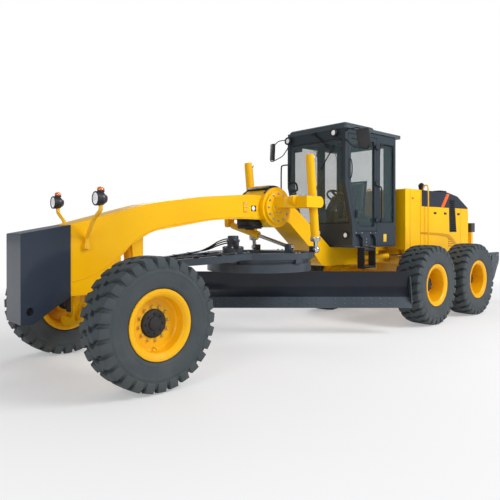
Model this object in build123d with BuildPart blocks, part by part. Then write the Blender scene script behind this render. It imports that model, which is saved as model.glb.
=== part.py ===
"""Motor grader: six wheels, arched front frame, hinged rear frame, drawbar, circle and blade.

Frame: +X forward, +Y left, +Z up, millimetres, ground at Z = 0. The origin lies on the
ground halfway along the machine. Distances along the machine are mostly given as how far
a point lies behind the front axle, and station() turns them into X. A row of an outline is
two coordinates and, where the corner is rounded, its radius.
"""

from build123d import *
from math import cos, radians, sin, sqrt
import os

# ---- Wheels --------------------------------------------------------------------------
tyre_radius = 665.0
tyre_width = 445.0
bead_radius = 318.0
flange_radius = 352.0
well_radius = 292.0             # bottom of the rim's well, inside the tyre
rim_bore = 274.0                # inner face of the rim's barrel
rim_half_width = 200.0
axle_height = tyre_radius
tandem_spacing = 2 * tyre_radius + 228.0        # between the two rear axles of a side
track = 2156.0                  # between wheel centre planes
running_gap = 0.3               # between surfaces that turn or slide on each other
pin_head = 6.0                  # how far a pin's head stands out

# ---- Overall sizes -------------------------------------------------------------------
wheelbase = 6174.0              # front axle to tandem pivot
nose_overhang = 957.0           # nose plate ahead of the front axle
rear_frame_end = wheelbase + 2026.0
ripper_pivot = rear_frame_end + 60.0
ripper_beam_distance = rear_frame_end + 730.0
shank_rear = ripper_beam_distance + 200.0
overall_length = nose_overhang + shank_rear
front_axle_x = overall_length / 2 - nose_overhang

# ---- Front axle, leaning and steering ------------------------------------------------
kingpin_y = track / 2 - 318.0
lean_pivot_height = axle_height - 205.0
lean_bar_height = axle_height + 265.0
lean_bar_offset = 84.0          # lean bar's centre behind the axle
lean_pin_radius = 25.0
kingpin_radius = 30.0
spindle_radius = 44.0
tie_rod_offset = 250.0          # tie rod's centre behind the axle
tie_rod_height = axle_height - 35.0
ball_radius = 18.0
yoke_half_thickness = 60.0
axle_half_thickness = 110.0
oscillation_pin_radius = 40.0
oscillation_height = axle_height + 165.0

# ---- Front frame ---------------------------------------------------------------------
frame_half_width = 200.0
nose_half_width = 212.0
drawbar_ball = 420.0            # drawbar ball behind the front axle
drawbar_ball_height = 1180.0
drawbar_ball_radius = 60.0
saddle_distance = 2630.0
saddle_height = 1910.0
saddle_radius = 290.0
cab_floor_height = 1300.0       # underside of the cab and top of the frame below it

# ---- Lift and centre-shift cylinders -------------------------------------------------
lift_y = 650.0
lift_trunnion = 2970.0
lift_trunnion_height = 1980.0
lift_foot = 3040.0
lift_foot_height = 1300.0
lift_barrel_radius = 62.0
lift_rod_radius = 32.0
lift_barrel_up = 690.0          # barrel's end above its trunnion
lift_barrel_down = 560.0        # gland below its trunnion
trunnion_pin_radius = 30.0
shift_anchor_y = -800.0
shift_anchor_height = 1675.0
shift_eye_y = 520.0
shift_eye_height = 1340.0
shift_barrel_radius = 52.0
shift_rod_radius = 27.0
shift_barrel_length = 690.0

# ---- Drawbar, circle and blade -------------------------------------------------------
circle_distance = 2520.0
circle_radius = 760.0
circle_inner_radius = circle_radius - 150.0
skirt_radius = circle_radius - 70.0             # inner face of the circle's lower skirt
circle_bottom = 1005.0
circle_top = 1180.0
circle_flange_bottom = 1095.0   # underside of the toothed flange
groove_radius = circle_radius - 25.0            # shoes hold the circle in this groove
groove_low = 1120.0
groove_high = 1150.0
tooth_count = 72
tooth_height = 26.0
tooth_root_half = 15.5          # half of a tooth's width at its root
tooth_tip_half = 8.0            # and at its tip
pinion_reach = 94.0             # pinion's axis inside the teeth's middle line
drawbar_top = 1265.0
drawbar_plate_top = 1218.0
blade_angle = 48.0              # left end swept back by this much at rest
blade_length = 3962.0
blade_shift = 336.0             # blade's middle to the left of the circle's centre
blade_bottom = 410.0
blade_top = 955.0
blade_thickness = 22.0
blade_arc_radius = 413.0
blade_arc_forward = 120.0       # arc's centre ahead of the circle's centre
blade_arc_height = 740.0
tip_back = 420.0                # tip pivot behind the circle's centre
tip_height = 620.0
tip_arm_y = 470.0               # each blade arm to the side of the circle's centre
tip_pin_radius = 28.0
rail_back = 360.0               # rear face of the blade's rails
rail_half_height = 22.0
upper_rail_height = 862.0
lower_rail_height = 600.0
blade_rail_half_length = 1700.0
edge_height = 150.0             # cutting edge's top above the blade's bottom
edge_thickness = 16.0
end_bit = 18.0                  # thickness of the plates that close the blade's ends

# ---- Cab -----------------------------------------------------------------------------
cab_half_width = 610.0
cab_front = 3785.0              # upright upper half of the cab's front
cab_knee_height = 2310.0        # below it the front slopes back
cab_toe = 3972.0                # front of the cab's foot
cab_rear = 5262.0
cab_rear_corner = 5205.0        # the rear corners are cut off in plan
cab_rear_half_width = cab_half_width - 55.0
cab_wall = 60.0
sill_height = 1690.0            # top of the wall below the windscreen
header_height = 3010.0          # underside of the rail above the windscreen
roof_underside = 3170.0
roof_edge = 3222.0
roof_top = 3268.0
door_front = 3855.0
door_rear = 4640.0
door_bottom = 1560.0
door_top = 3100.0
door_gap = 6.0
door_frame = 70.0
door_thickness = 50.0
knuckle_offset = 22.0           # door hinge's axis outside the cab's wall
knuckle_radius = 16.0
glass = 8.0

# ---- Articulation, rear frame and hood -----------------------------------------------
hinge_distance = 5400.0
hinge_pin_radius = 45.0
tongue_low = 1070.0
tongue_high = 1210.0
fork_plate = 70.0
rail_inner = 250.0              # rear frame's side rails
rail_outer = 380.0
rail_low = 960.0
rail_high = 1200.0
artic_front = 4710.0            # articulation cylinders, front pins
artic_front_y = 255.0
artic_rear = 5760.0             # and rear pins
artic_rear_y = 430.0
artic_height = 1120.0
hood_front = 5540.0
hood_rear = wheelbase + 1911.0  # at the foot of the sloping rear wall
hood_rear_top = wheelbase + 1806.0
hood_half_width = 600.0
hood_wall = 25.0
hood_bottom = 1115.0
hood_arch = 1232.0              # end walls stay open below this height
hood_top = 2322.0
counterweight_front = rear_frame_end - 100.0
tandem_outer = track / 2 - 243.0
tandem_inner = tandem_outer - 225.0
tandem_radius = 190.0
tandem_axle_radius = 60.0

# ---- Ripper --------------------------------------------------------------------------
ripper_pivot_height = 1010.0
ripper_pin_radius = 30.0
ripper_arm_y = 420.0
ripper_beam_height = 900.0
ripper_beam_half = 90.0
ripper_cylinder_height = 1240.0
ripper_eye_distance = rear_frame_end + 600.0
ripper_eye_height = 1080.0
ripper_barrel_radius = 50.0
ripper_rod_radius = 25.0
cheek_y = 800.0                 # side plates at the ends of the ripper's beam

os.makedirs("parts", exist_ok=True)


def station(distance):
    """X of a point this far behind the front axle."""
    return front_axle_x - distance


def side_rows(rows):
    """Rows of (distance behind the front axle, height, corner radius) turned into X and Z."""
    return [(station(distance), *rest) for distance, *rest in rows]


def outline(rows):
    """Sketch the closed outline of some rows, with its rounded corners."""
    with BuildLine() as border:
        FilletPolyline(*[row[:2] for row in rows], close=True,
                       radius=[row[2] if len(row) > 2 else 0 for row in rows])
    make_face(border.edges())


def span(side, near, far):
    """Low and high Y of a stretch between two distances from the centre plane."""
    return sorted((side * near, side * far))


def slab(rows, low_y, high_y, mode=Mode.ADD):
    """Extrude a side-view outline of (x, z) rows from y = low_y to y = high_y."""
    with BuildSketch(Plane.XZ.offset(-high_y)) as side:
        outline(rows)
    extrude(side.sketch, amount=high_y - low_y, mode=mode)


def across(rows, front_x, rear_x, mode=Mode.ADD):
    """Extrude a front-view outline of (y, z) rows from x = rear_x to x = front_x."""
    with BuildSketch(Plane.YZ.offset(rear_x)) as view:
        outline(rows)
    extrude(view.sketch, amount=front_x - rear_x, mode=mode)


def plate(rows, low, high, mode=Mode.ADD):
    """Extrude a plan outline of (x, y) rows between two heights."""
    with BuildSketch(Plane.XY.offset(low)) as plan:
        outline(rows)
    extrude(plan.sketch, amount=high - low, mode=mode)


def block(x, y, z, mode=Mode.ADD):
    """A box between pairs of coordinates."""
    size = [high - low for low, high in (x, y, z)]
    with Locations(((x[0] + x[1]) / 2, (y[0] + y[1]) / 2, (z[0] + z[1]) / 2)):
        Box(*size, mode=mode)


def rod(start, end, radius, mode=Mode.ADD):
    """A round bar from one point to another."""
    start, end = Vector(*start), Vector(*end)
    section = Plane(origin=start, z_dir=end - start)
    with BuildSketch(section) as profile:
        Circle(radius)
    extrude(profile.sketch, amount=(end - start).length, mode=mode)


def tube(points, radius, bend):
    """A bent tube through some points, with rounded bends."""
    with BuildLine() as path:
        FilletPolyline(*points, radius=bend)
    with BuildSketch(Plane(origin=points[0], z_dir=path.line % 0)) as profile:
        Circle(radius)
    sweep(profile.sketch, path=path.line)


def turned(rows, axis_plane, mode=Mode.ADD):
    """Revolve rows of (along the axis, radius) about the plane's local X axis."""
    with BuildSketch(axis_plane) as profile:
        outline(rows)
    revolve(profile.sketch, axis=Axis(axis_plane.origin, axis_plane.x_dir), mode=mode)


def along_axis(start, end):
    """Sketch plane for a turned piece: local X runs from one point towards another."""
    direction = (Vector(*end) - Vector(*start)).normalized()
    square = direction.cross(Vector(0.31, 0.17, 0.93)).normalized()
    return Plane(origin=Vector(*start), x_dir=direction, z_dir=square)


def save(part, name):
    """Label a finished piece and write its file."""
    part.label = name
    export_step(part, f"parts/{name}.step")


def save_mirrored(part, name):
    """Write the right-hand copy of a left-hand piece."""
    with BuildPart() as copy:
        mirror(part, about=Plane.XZ)
    save(copy.part, name)


# ---- Main frame: one arched box beam from the nose to the articulation hinge ------------
axle_x = station(0)
ball_x = station(drawbar_ball)
hinge_x = station(hinge_distance)
saddle_x = station(saddle_distance)
axle_lug_half = 120.0
lug_front, lug_rear = (-190, -120), (120, 200)
frame_rows = side_rows([
    # behind the axle, height, corner radius
    (-440, 1640), (540, 1900, 2600), (1280, 2010, 5000), (2150, 2080, 3000), (2850, 2060, 400),
    (3200, 1840, 1500), (3930, cab_floor_height, 100), (5060, cab_floor_height),
    (5060, 1000), (3720, 1000, 260), (3480, 1270, 600), (2920, 1720, 300), (1920, 1740, 3000),
    (1450, 1710, 3000), (580, 1570, 500), (300, 1420, 200), (-50, 1080, 150), (-60, 880),
    (-440, 880),
])
with BuildPart() as main_frame:
    slab(frame_rows, -frame_half_width, frame_half_width)
    # lugs that carry the axle's oscillation pin, in front of the axle and behind it
    for front, rear in (lug_front, lug_rear):
        slab(side_rows([(front, 1060), (rear, 1060), (rear, oscillation_height - 70, 30),
                        (front, oscillation_height - 70, 30)]), -axle_lug_half, axle_lug_half)
    block((station(lug_rear[1]), station(lug_rear[0])), (-axle_lug_half, axle_lug_half), (1000, 1290))
    # bracket that hangs below the beam for the drawbar's ball
    bracket_inner = drawbar_ball_radius + 4
    for side in (-1, 1):
        slab(side_rows([
            (340, 1470), (500, 1550), (500, 1150, 30), (440, 1110, 30), (380, 1110, 30),
        ]), *span(side, bracket_inner, bracket_inner + 46))
    rod((ball_x, -bracket_inner - 6, drawbar_ball_height),
        (ball_x, bracket_inner + 6, drawbar_ball_height), 25)
    # tongue of the articulation hinge
    block((hinge_x, station(5000)), (-120, 120), (tongue_low, tongue_high))
    rod((hinge_x, 0, tongue_low), (hinge_x, 0, tongue_high), 120)
    rod((hinge_x, 0, tongue_low), (hinge_x, 0, tongue_high),
        hinge_pin_radius + running_gap, Mode.SUBTRACT)
    # the oscillation pin's bore runs through both lugs
    rod((station(-440), 0, oscillation_height), (station(400), 0, oscillation_height),
        oscillation_pin_radius + running_gap, Mode.SUBTRACT)
    for side in (-1, 1):
        # brackets for the steering cylinders of the articulation
        for low in (artic_height - 70, artic_height + 46):
            plate([(station(4780), side * frame_half_width), (station(4740), side * 300, 30),
                   (station(4680), side * 300, 30), (station(4640), side * frame_half_width)],
                  low, low + 24)
        rod((station(artic_front), side * artic_front_y, artic_height - 70 - pin_head),
            (station(artic_front), side * artic_front_y, artic_height + 70 + pin_head), 20)
        # recess of the blade lamp, with the lamp in it
        block((station(2272), station(2180)), span(side, frame_half_width - 24, frame_half_width + 1),
              (1846, 1926), Mode.SUBTRACT)
        rod((station(2226), side * (frame_half_width - 25), 1886),
            (station(2226), side * (frame_half_width - 6), 1886), 30)
    # bolted cover of the hose passage
    block((station(2096), station(2034)), (frame_half_width, frame_half_width + 8), (1830, 1972))
save(main_frame.part, "main_frame")

# ---- Nose plate: a slab bolted to the front of the frame --------------------------------
with BuildPart() as nose_plate:
    slab(side_rows([
        (-nose_overhang, 1547, 12), (-440, 1639), (-440, 878), (-554, 806, 60), (-830, 630, 40),
        (-nose_overhang, 630, 12),
    ]), -nose_half_width, nose_half_width)
    # slot for a tow rope in the nose's foot
    slab(side_rows([(-900, 720, 34), (-830, 720, 34), (-830, 800, 34), (-900, 800, 34)]),
         -nose_half_width - 1, nose_half_width + 1, Mode.SUBTRACT)
save(nose_plate.part, "nose_plate")

# ---- Front axle: an arched beam with forked ends ----------------------------------------
k, p, a = kingpin_y, lean_pivot_height, axle_height
with BuildPart() as front_axle:
    across([
        # outwards, height, corner radius
        (0, a - 105), (k - 310, p - 20, 300), (k, p - 65, 100), (k + 70, p - 30, 30),
        (k + 70, p + 40, 25), (k, p + 65, 60), (k - 200, p + 50, 60), (k - 290, p + 110, 80),
        (k - 440, a + 75, 120), (0, a + 115),
    ], axle_x + axle_half_thickness, axle_x - axle_half_thickness)
    # hollow flanks between the beam's rims
    for front_x in (axle_x + axle_half_thickness + 1, axle_x - axle_half_thickness + 35):
        across([
            (150, a - 85, 20), (k - 330, p + 25, 60), (k - 305, p + 70, 20), (k - 460, a + 30, 60),
            (150, a + 60, 20),
        ], front_x, front_x - 36, Mode.SUBTRACT)
    # fork for the yoke
    block((axle_x - yoke_half_thickness - 6, axle_x + yoke_half_thickness + 6),
          (k - 215, k + 140), (0, a + 335), Mode.SUBTRACT)
    rod((axle_x - axle_half_thickness - pin_head, k, p), (axle_x + axle_half_thickness + pin_head, k, p),
        lean_pin_radius)
    mirror(about=Plane.XZ)
    # trunnion on which the axle rocks, in the frame's two lugs
    block((axle_x - 100, axle_x + 100), (-110, 110), (a + 35, oscillation_height + oscillation_pin_radius))
    rod((axle_x - 215, 0, oscillation_height), (axle_x + 205, 0, oscillation_height),
        oscillation_pin_radius)
save(front_axle.part, "front_axle")

# ---- Lean yokes: C-shaped uprights that tip with the wheels -----------------------------
with BuildPart() as yoke:
    across([
        (k - 60, p - 55, 40), (k + 55, p - 55, 40), (k + 55, a - 105), (k - 105, a - 105, 30),
        (k - 105, a + 105, 30), (k + 60, a + 105), (k + 60, a + 170, 40), (k + 45, a + 320, 40),
        (k - 45, a + 320, 40), (k - 160, a + 235, 60), (k - 160, a - 95, 60), (k - 120, p + 10, 40),
    ], axle_x + yoke_half_thickness, axle_x - yoke_half_thickness)
    rod((axle_x - 80, k, p), (axle_x + 80, k, p), lean_pin_radius + running_gap, Mode.SUBTRACT)
    rod((axle_x, k, a - 160), (axle_x, k, a + 165), kingpin_radius)
    rod((axle_x, k, a + 168), (axle_x, k, a + 180), 44)
    rod((axle_x, k, lean_bar_height), (axle_x - lean_bar_offset - 24, k, lean_bar_height), 20)
save(yoke.part, "lean_yoke_left")
save_mirrored(yoke.part, "lean_yoke_right")

# ---- Lean bar: keeps the two yokes parallel ---------------------------------------------
bar_x = axle_x - lean_bar_offset
with BuildPart() as lean_bar:
    across([
        (-k, lean_bar_height - 26), (k, lean_bar_height - 26), (k, lean_bar_height + 26),
        (-k, lean_bar_height + 26),
    ], bar_x + 20, bar_x - 20)
    for side in (-1, 1):
        rod((bar_x - 20, side * k, lean_bar_height), (bar_x + 20, side * k, lean_bar_height), 42)
    for side in (-1, 1):
        rod((bar_x - 20, side * k, lean_bar_height), (bar_x + 20, side * k, lean_bar_height),
            20 + running_gap, Mode.SUBTRACT)
save(lean_bar.part, "lean_bar")

# ---- Steering knuckles with their wheel spindles ----------------------------------------
hub_inner_y = track / 2 - 100
hub_gap_y = hub_inner_y - running_gap
arm_low, arm_high = tie_rod_height - 45, tie_rod_height - 20
with BuildPart() as spindle:
    rod((axle_x, k, a - 99), (axle_x, k, a + 99), 70)
    turned([
        # outwards from the kingpin, radius
        (0, 0), (0, 86, 10), (hub_gap_y - k - 60, 68, 20), (hub_gap_y - k - 24, 68), (hub_gap_y - k - 24, 98),
        (hub_gap_y - k, 98), (hub_gap_y - k, spindle_radius), (track / 2 + 40 - k, spindle_radius),
        (track / 2 + 40 - k, 0),
    ], along_axis((axle_x, k, a), (axle_x, track / 2, a)))
    arm_end = axle_x - tie_rod_offset - 30
    plate([(axle_x, k - 30), (arm_end, k - 30, 29), (arm_end, k + 30, 29), (axle_x, k + 30)], arm_low, arm_high)
    rod((axle_x - tie_rod_offset, k, arm_high), (axle_x - tie_rod_offset, k, tie_rod_height + 22), ball_radius)
    rod((axle_x, k, a - 165), (axle_x, k, a + 175), kingpin_radius + running_gap, Mode.SUBTRACT)
save(spindle.part, "spindle_left")
save_mirrored(spindle.part, "spindle_right")

# ---- Tie rod, with the swivel of its left end -------------------------------------------
tie_x = axle_x - tie_rod_offset
with BuildPart() as tie_rod_end:
    rod((tie_x, k, tie_rod_height - 18), (tie_x, k, tie_rod_height + 18), 34)
    rod((tie_x, k, tie_rod_height - 20), (tie_x, k, tie_rod_height + 20),
        ball_radius + running_gap, Mode.SUBTRACT)
    rod((tie_x - 48, k, tie_rod_height), (tie_x - 30, k, tie_rod_height), 14)
save(tie_rod_end.part, "tie_rod_end")

fork_x = tie_x - 48
with BuildPart() as tie_rod:
    for side in (-1, 1):
        rod((fork_x - 26, side * k, tie_rod_height), (fork_x + 8, side * k, tie_rod_height), 26)
        rod((fork_x - 12, side * (k - 110), tie_rod_height), (fork_x - 12, side * (k - 10), tie_rod_height), 22)
    rod((fork_x - 12, k - 10, tie_rod_height), (fork_x - 12, -k + 10, tie_rod_height), 18)
    rod((fork_x, k, tie_rod_height), (fork_x + 20, k, tie_rod_height), 14 + running_gap, Mode.SUBTRACT)
save(tie_rod.part, "tie_rod")

# ---- Wheels: tyres, and rims with their discs and hubs ----------------------------------
wheel_rows = [
    # name, distance behind the front axle, side, shape of the rim
    ("front_left", 0, 1, "front"),
    ("front_right", 0, -1, "front"),
    ("middle_left", wheelbase - tandem_spacing / 2, 1, "rear"),
    ("middle_right", wheelbase - tandem_spacing / 2, -1, "rear"),
    ("rear_left", wheelbase + tandem_spacing / 2, 1, "rear"),
    ("rear_right", wheelbase + tandem_spacing / 2, -1, "rear"),
]
rim_discs = {
    # across the wheel from its centre plane (outwards), radius, corner radius
    "front": [
        (170, rim_bore, 10), (74, rim_bore - 2, 16), (56, 256, 16), (56, 142, 8), (72, 130, 8),
        (76, 118, 6), (76, 66, 4), (68, 60, 4), (68, 0), (50, 0), (50, spindle_radius + running_gap),
        (-100, spindle_radius + running_gap), (-100, 120, 8), (14, 132, 20), (32, 152, 12),
        (32, 254, 10), (46, rim_bore, 6), (-170, rim_bore, 10),
    ],
    "rear": [
        (170, rim_bore, 10), (-62, rim_bore - 2, 16), (-78, 256, 16), (-78, 168, 8), (-62, 152, 8),
        (-44, 118, 12), (-40, 60, 6), (-40, 0), (-70, 0), (-70, tandem_axle_radius + running_gap),
        (-210, tandem_axle_radius + running_gap), (-210, 140, 8), (-125, 165, 12), (-102, 185, 12),
        (-102, 254, 10), (-88, rim_bore, 6), (-170, rim_bore, 10),
    ],
}


def wheel_plane(distance, side):
    """Sketch plane through a wheel's axis: local x outwards, local y away from the axis."""
    centre = (station(distance), side * track / 2, axle_height)
    return Plane(origin=centre, x_dir=(0, side, 0), z_dir=(side, 0, 0))


half = tyre_width / 2
edge = rim_half_width
tyre_bead = [
    # across the wheel, radius
    (half - 36, bead_radius + 38), (half - 18, bead_radius + 54),
]
for name, distance, side, shape in wheel_rows:
    plane = wheel_plane(distance, side)
    spin_axis = Axis(plane.origin, (0, 1, 0))
    with BuildPart() as tyre:
        with BuildSketch(plane):
            with BuildLine():
                outer = Polyline(*tyre_bead)
                wall = ThreePointArc(outer @ 1, (half, tyre_radius - 190), (half - 16, tyre_radius - 55))
                crown = Polyline(
                    wall @ 1, (half - 44, tyre_radius - 14), (half - 110, tyre_radius),
                    (-half + 110, tyre_radius), (-half + 44, tyre_radius - 14),
                    (-half + 16, tyre_radius - 55),
                )
                back = ThreePointArc(crown @ 1, (-half, tyre_radius - 190), (-half + 18, bead_radius + 54))
                Polyline(
                    back @ 1, (-half + 36, bead_radius + 38), (-half + 36, bead_radius + running_gap),
                    (half - 36, bead_radius + running_gap), outer @ 0,
                )
            make_face()
        revolve(axis=spin_axis)
    save(tyre.part, f"tyre_{name}")

    with BuildPart() as rim:
        with BuildSketch(plane):
            outline([
                (-edge + 13, bead_radius), (-edge + 50, bead_radius, 8), (-edge + 68, well_radius, 8),
                (edge - 68, well_radius, 8), (edge - 50, bead_radius, 8), (edge - 13, bead_radius),
                (edge - 13, flange_radius - 4), (edge - 8, flange_radius), (edge + 2, flange_radius - 4),
                (edge + 2, bead_radius + 8, 6), (edge - 8, bead_radius - 18, 6),
                *rim_discs[shape],
                (-edge + 8, bead_radius - 18, 6), (-edge - 2, bead_radius + 8, 6),
                (-edge - 2, flange_radius - 4), (-edge + 8, flange_radius), (-edge + 13, flange_radius - 4),
            ])
        revolve(axis=spin_axis)
    save(rim.part, f"rim_{name}")

# ---- Saddle: the round carrier on the frame that holds the lift cylinders ---------------
trunnion_x = station(lift_trunnion)
clamp_inner, clamp_outer = 90.0, 130.0          # clamp's cheeks beside the cylinder's axis
clamp_half = 80.0
with BuildPart() as saddle:
    # drum across the frame, with a raised bearing ring on each end
    rod((saddle_x, -frame_half_width - 62, saddle_height), (saddle_x, frame_half_width + 62, saddle_height),
        saddle_radius)
    for side in (-1, 1):
        rod((saddle_x, side * (frame_half_width + 60), saddle_height),
            (saddle_x, side * (frame_half_width + 92), saddle_height), saddle_radius - 50)
        rod((saddle_x, side * (frame_half_width + 60), saddle_height),
            (saddle_x, side * (frame_half_width + 104), saddle_height), 120)
    slab(frame_rows, -frame_half_width, frame_half_width, Mode.SUBTRACT)
    # cap over the drum's top
    slab(side_rows([(2510, 2150), (2750, 2150), (2730, 2235, 30), (2530, 2235, 30)]), -150, 150)
    slab(frame_rows, -frame_half_width, frame_half_width, Mode.SUBTRACT)
    for side in (-1, 1):
        # arm out to the clamp round the cylinder's trunnion
        plate([
            (saddle_x + 90, side * (frame_half_width + 60)),
            (saddle_x + 40, side * (lift_y - 200), 80),
            (saddle_x - 60, side * (lift_y - clamp_inner), 40),
            (trunnion_x - 60, side * (lift_y - clamp_inner)),
            (trunnion_x - 60, side * (lift_y - clamp_outer), 30),
            (saddle_x - 240, side * (frame_half_width + 120), 60),
            (saddle_x - 270, side * (frame_half_width + 60)),
        ], lift_trunnion_height - clamp_half, lift_trunnion_height + clamp_half)
        for near in (lift_y - clamp_outer, lift_y + clamp_inner):
            slab([
                (saddle_x - 60, lift_trunnion_height - clamp_half),
                (saddle_x - 60, lift_trunnion_height + clamp_half, 20),
                (trunnion_x - clamp_half, lift_trunnion_height + clamp_half, clamp_half - 5),
                (trunnion_x - clamp_half, lift_trunnion_height - clamp_half, clamp_half - 5),
            ], *span(side, near, near + 40))
        block((saddle_x - 200, saddle_x - 60), span(side, lift_y - 110, lift_y + clamp_outer),
              (lift_trunnion_height - clamp_half, lift_trunnion_height + clamp_half))
        # boss where the arm is clamped to the drum's bearing
        rod((saddle_x - 60, side * (lift_y - 150), lift_trunnion_height + 20),
            (saddle_x - 60, side * (lift_y - 60), lift_trunnion_height + 20), 76)
        rod((trunnion_x, side * (lift_y - 150), lift_trunnion_height),
            (trunnion_x, side * (lift_y + 150), lift_trunnion_height),
            trunnion_pin_radius + running_gap, Mode.SUBTRACT)
    # arm to the right with the ears of the centre-shift cylinder
    across([(-280, 1990), (-880, 1930, 20), (-880, 1880), (-280, 1790)], saddle_x + 60, saddle_x - 60)
    for front_x in (saddle_x + 60, saddle_x - 34):
        across([
            (shift_anchor_y - 60, 1890), (shift_anchor_y + 60, 1890), (shift_anchor_y + 45, shift_anchor_height - 50, 40),
            (shift_anchor_y - 45, shift_anchor_height - 50, 40),
        ], front_x, front_x - 26)
    rod((saddle_x - 60 - pin_head, shift_anchor_y, shift_anchor_height),
        (saddle_x + 60 + pin_head, shift_anchor_y, shift_anchor_height), 22)
save(saddle.part, "saddle")

# ---- Lift cylinders: barrels hung on trunnions, rods down to the drawbar ----------------
lift_drop = Vector(station(lift_foot) - trunnion_x, 0, lift_foot_height - lift_trunnion_height)
lift_direction = lift_drop.normalized()
lift_back = Vector(lift_direction.Z, 0, -lift_direction.X)      # square to it, towards the rear
gland_radius = lift_barrel_radius + 8
pipe_radius = 9.0
pipe_offset = lift_barrel_radius + 20


def along_lift(y, amount, back=0):
    """A point this far below a lift cylinder's trunnion, and this far behind its axis."""
    return Vector(trunnion_x, y, lift_trunnion_height) + lift_direction * amount + lift_back * back


for name, side in (("left", 1), ("right", -1)):
    y = side * lift_y
    foot = Vector(station(lift_foot), y, lift_foot_height)
    with BuildPart() as barrel:
        turned([
            # down from the barrel's upper end, radius
            (0, 0), (0, lift_barrel_radius - 2, 12), (50, lift_barrel_radius - 2), (50, lift_barrel_radius),
            (lift_barrel_up + lift_barrel_down - 70, lift_barrel_radius),
            (lift_barrel_up + lift_barrel_down - 70, gland_radius, 4),
            (lift_barrel_up + lift_barrel_down, gland_radius, 6), (lift_barrel_up + lift_barrel_down, 0),
        ], along_axis(along_lift(y, -lift_barrel_up), foot))
        turned([
            (-60, 0), (-60, lift_barrel_radius + 14, 8), (60, lift_barrel_radius + 14, 8), (60, 0),
        ], along_axis(along_lift(y, 0), foot))
        rod((trunnion_x, y - 128, lift_trunnion_height), (trunnion_x, y + 128, lift_trunnion_height),
            trunnion_pin_radius)
        rod(along_lift(y, -lift_barrel_up + 40), along_lift(y, lift_barrel_down + 1),
            lift_rod_radius + running_gap, Mode.SUBTRACT)
        # steel pipe from the gland's port to the barrel's upper port
        rod(along_lift(y, -lift_barrel_up + 70, pipe_offset), along_lift(y, lift_barrel_down - 50, pipe_offset),
            pipe_radius)
        for height in (-lift_barrel_up + 76, -260, 200, lift_barrel_down - 56):
            rod(along_lift(y, height, lift_barrel_radius - 10), along_lift(y, height, pipe_offset + 8), 14)
    save(barrel.part, f"lift_barrel_{name}")
    with BuildPart() as piston:
        rod(along_lift(y, -lift_barrel_up + 140), foot, lift_rod_radius)
        rod(along_lift(y, lift_drop.length - 48), along_lift(y, lift_drop.length - 30), lift_rod_radius + 9)
        with Locations(foot):
            Sphere(52)
    save(piston.part, f"lift_rod_{name}")

# ---- Centre-shift cylinder, across the machine below the frame --------------------------
shift_anchor = Vector(saddle_x, shift_anchor_y, shift_anchor_height)
shift_eye = Vector(saddle_x, shift_eye_y, shift_eye_height)
shift_direction = (shift_eye - shift_anchor).normalized()
shift_pin_way = Vector(1, 0, 0)
with BuildPart() as shift_barrel:
    turned([
        (85, 0), (85, shift_barrel_radius, 10), (shift_barrel_length - 60, shift_barrel_radius),
        (shift_barrel_length - 60, shift_barrel_radius + 7, 3), (shift_barrel_length, shift_barrel_radius + 7, 5),
        (shift_barrel_length, 0),
    ], along_axis(shift_anchor, shift_eye))
    rod(shift_anchor - shift_pin_way * 30, shift_anchor + shift_pin_way * 30, 48)
    rod(shift_anchor, shift_anchor + shift_direction * 90, 28)
    rod(shift_anchor + shift_direction * 100, shift_anchor + shift_direction * (shift_barrel_length + 1),
        shift_rod_radius + running_gap, Mode.SUBTRACT)
    rod(shift_anchor - shift_pin_way * 31, shift_anchor + shift_pin_way * 31,
        22 + running_gap, Mode.SUBTRACT)
save(shift_barrel.part, "centre_shift_barrel")
with BuildPart() as shift_rod:
    rod(shift_anchor + shift_direction * 160, shift_eye, shift_rod_radius)
    rod(shift_eye - shift_pin_way * 28, shift_eye + shift_pin_way * 28, 50)
    rod(shift_eye - shift_pin_way * 29, shift_eye + shift_pin_way * 29, 24, Mode.SUBTRACT)
save(shift_rod.part, "centre_shift_rod")

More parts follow.
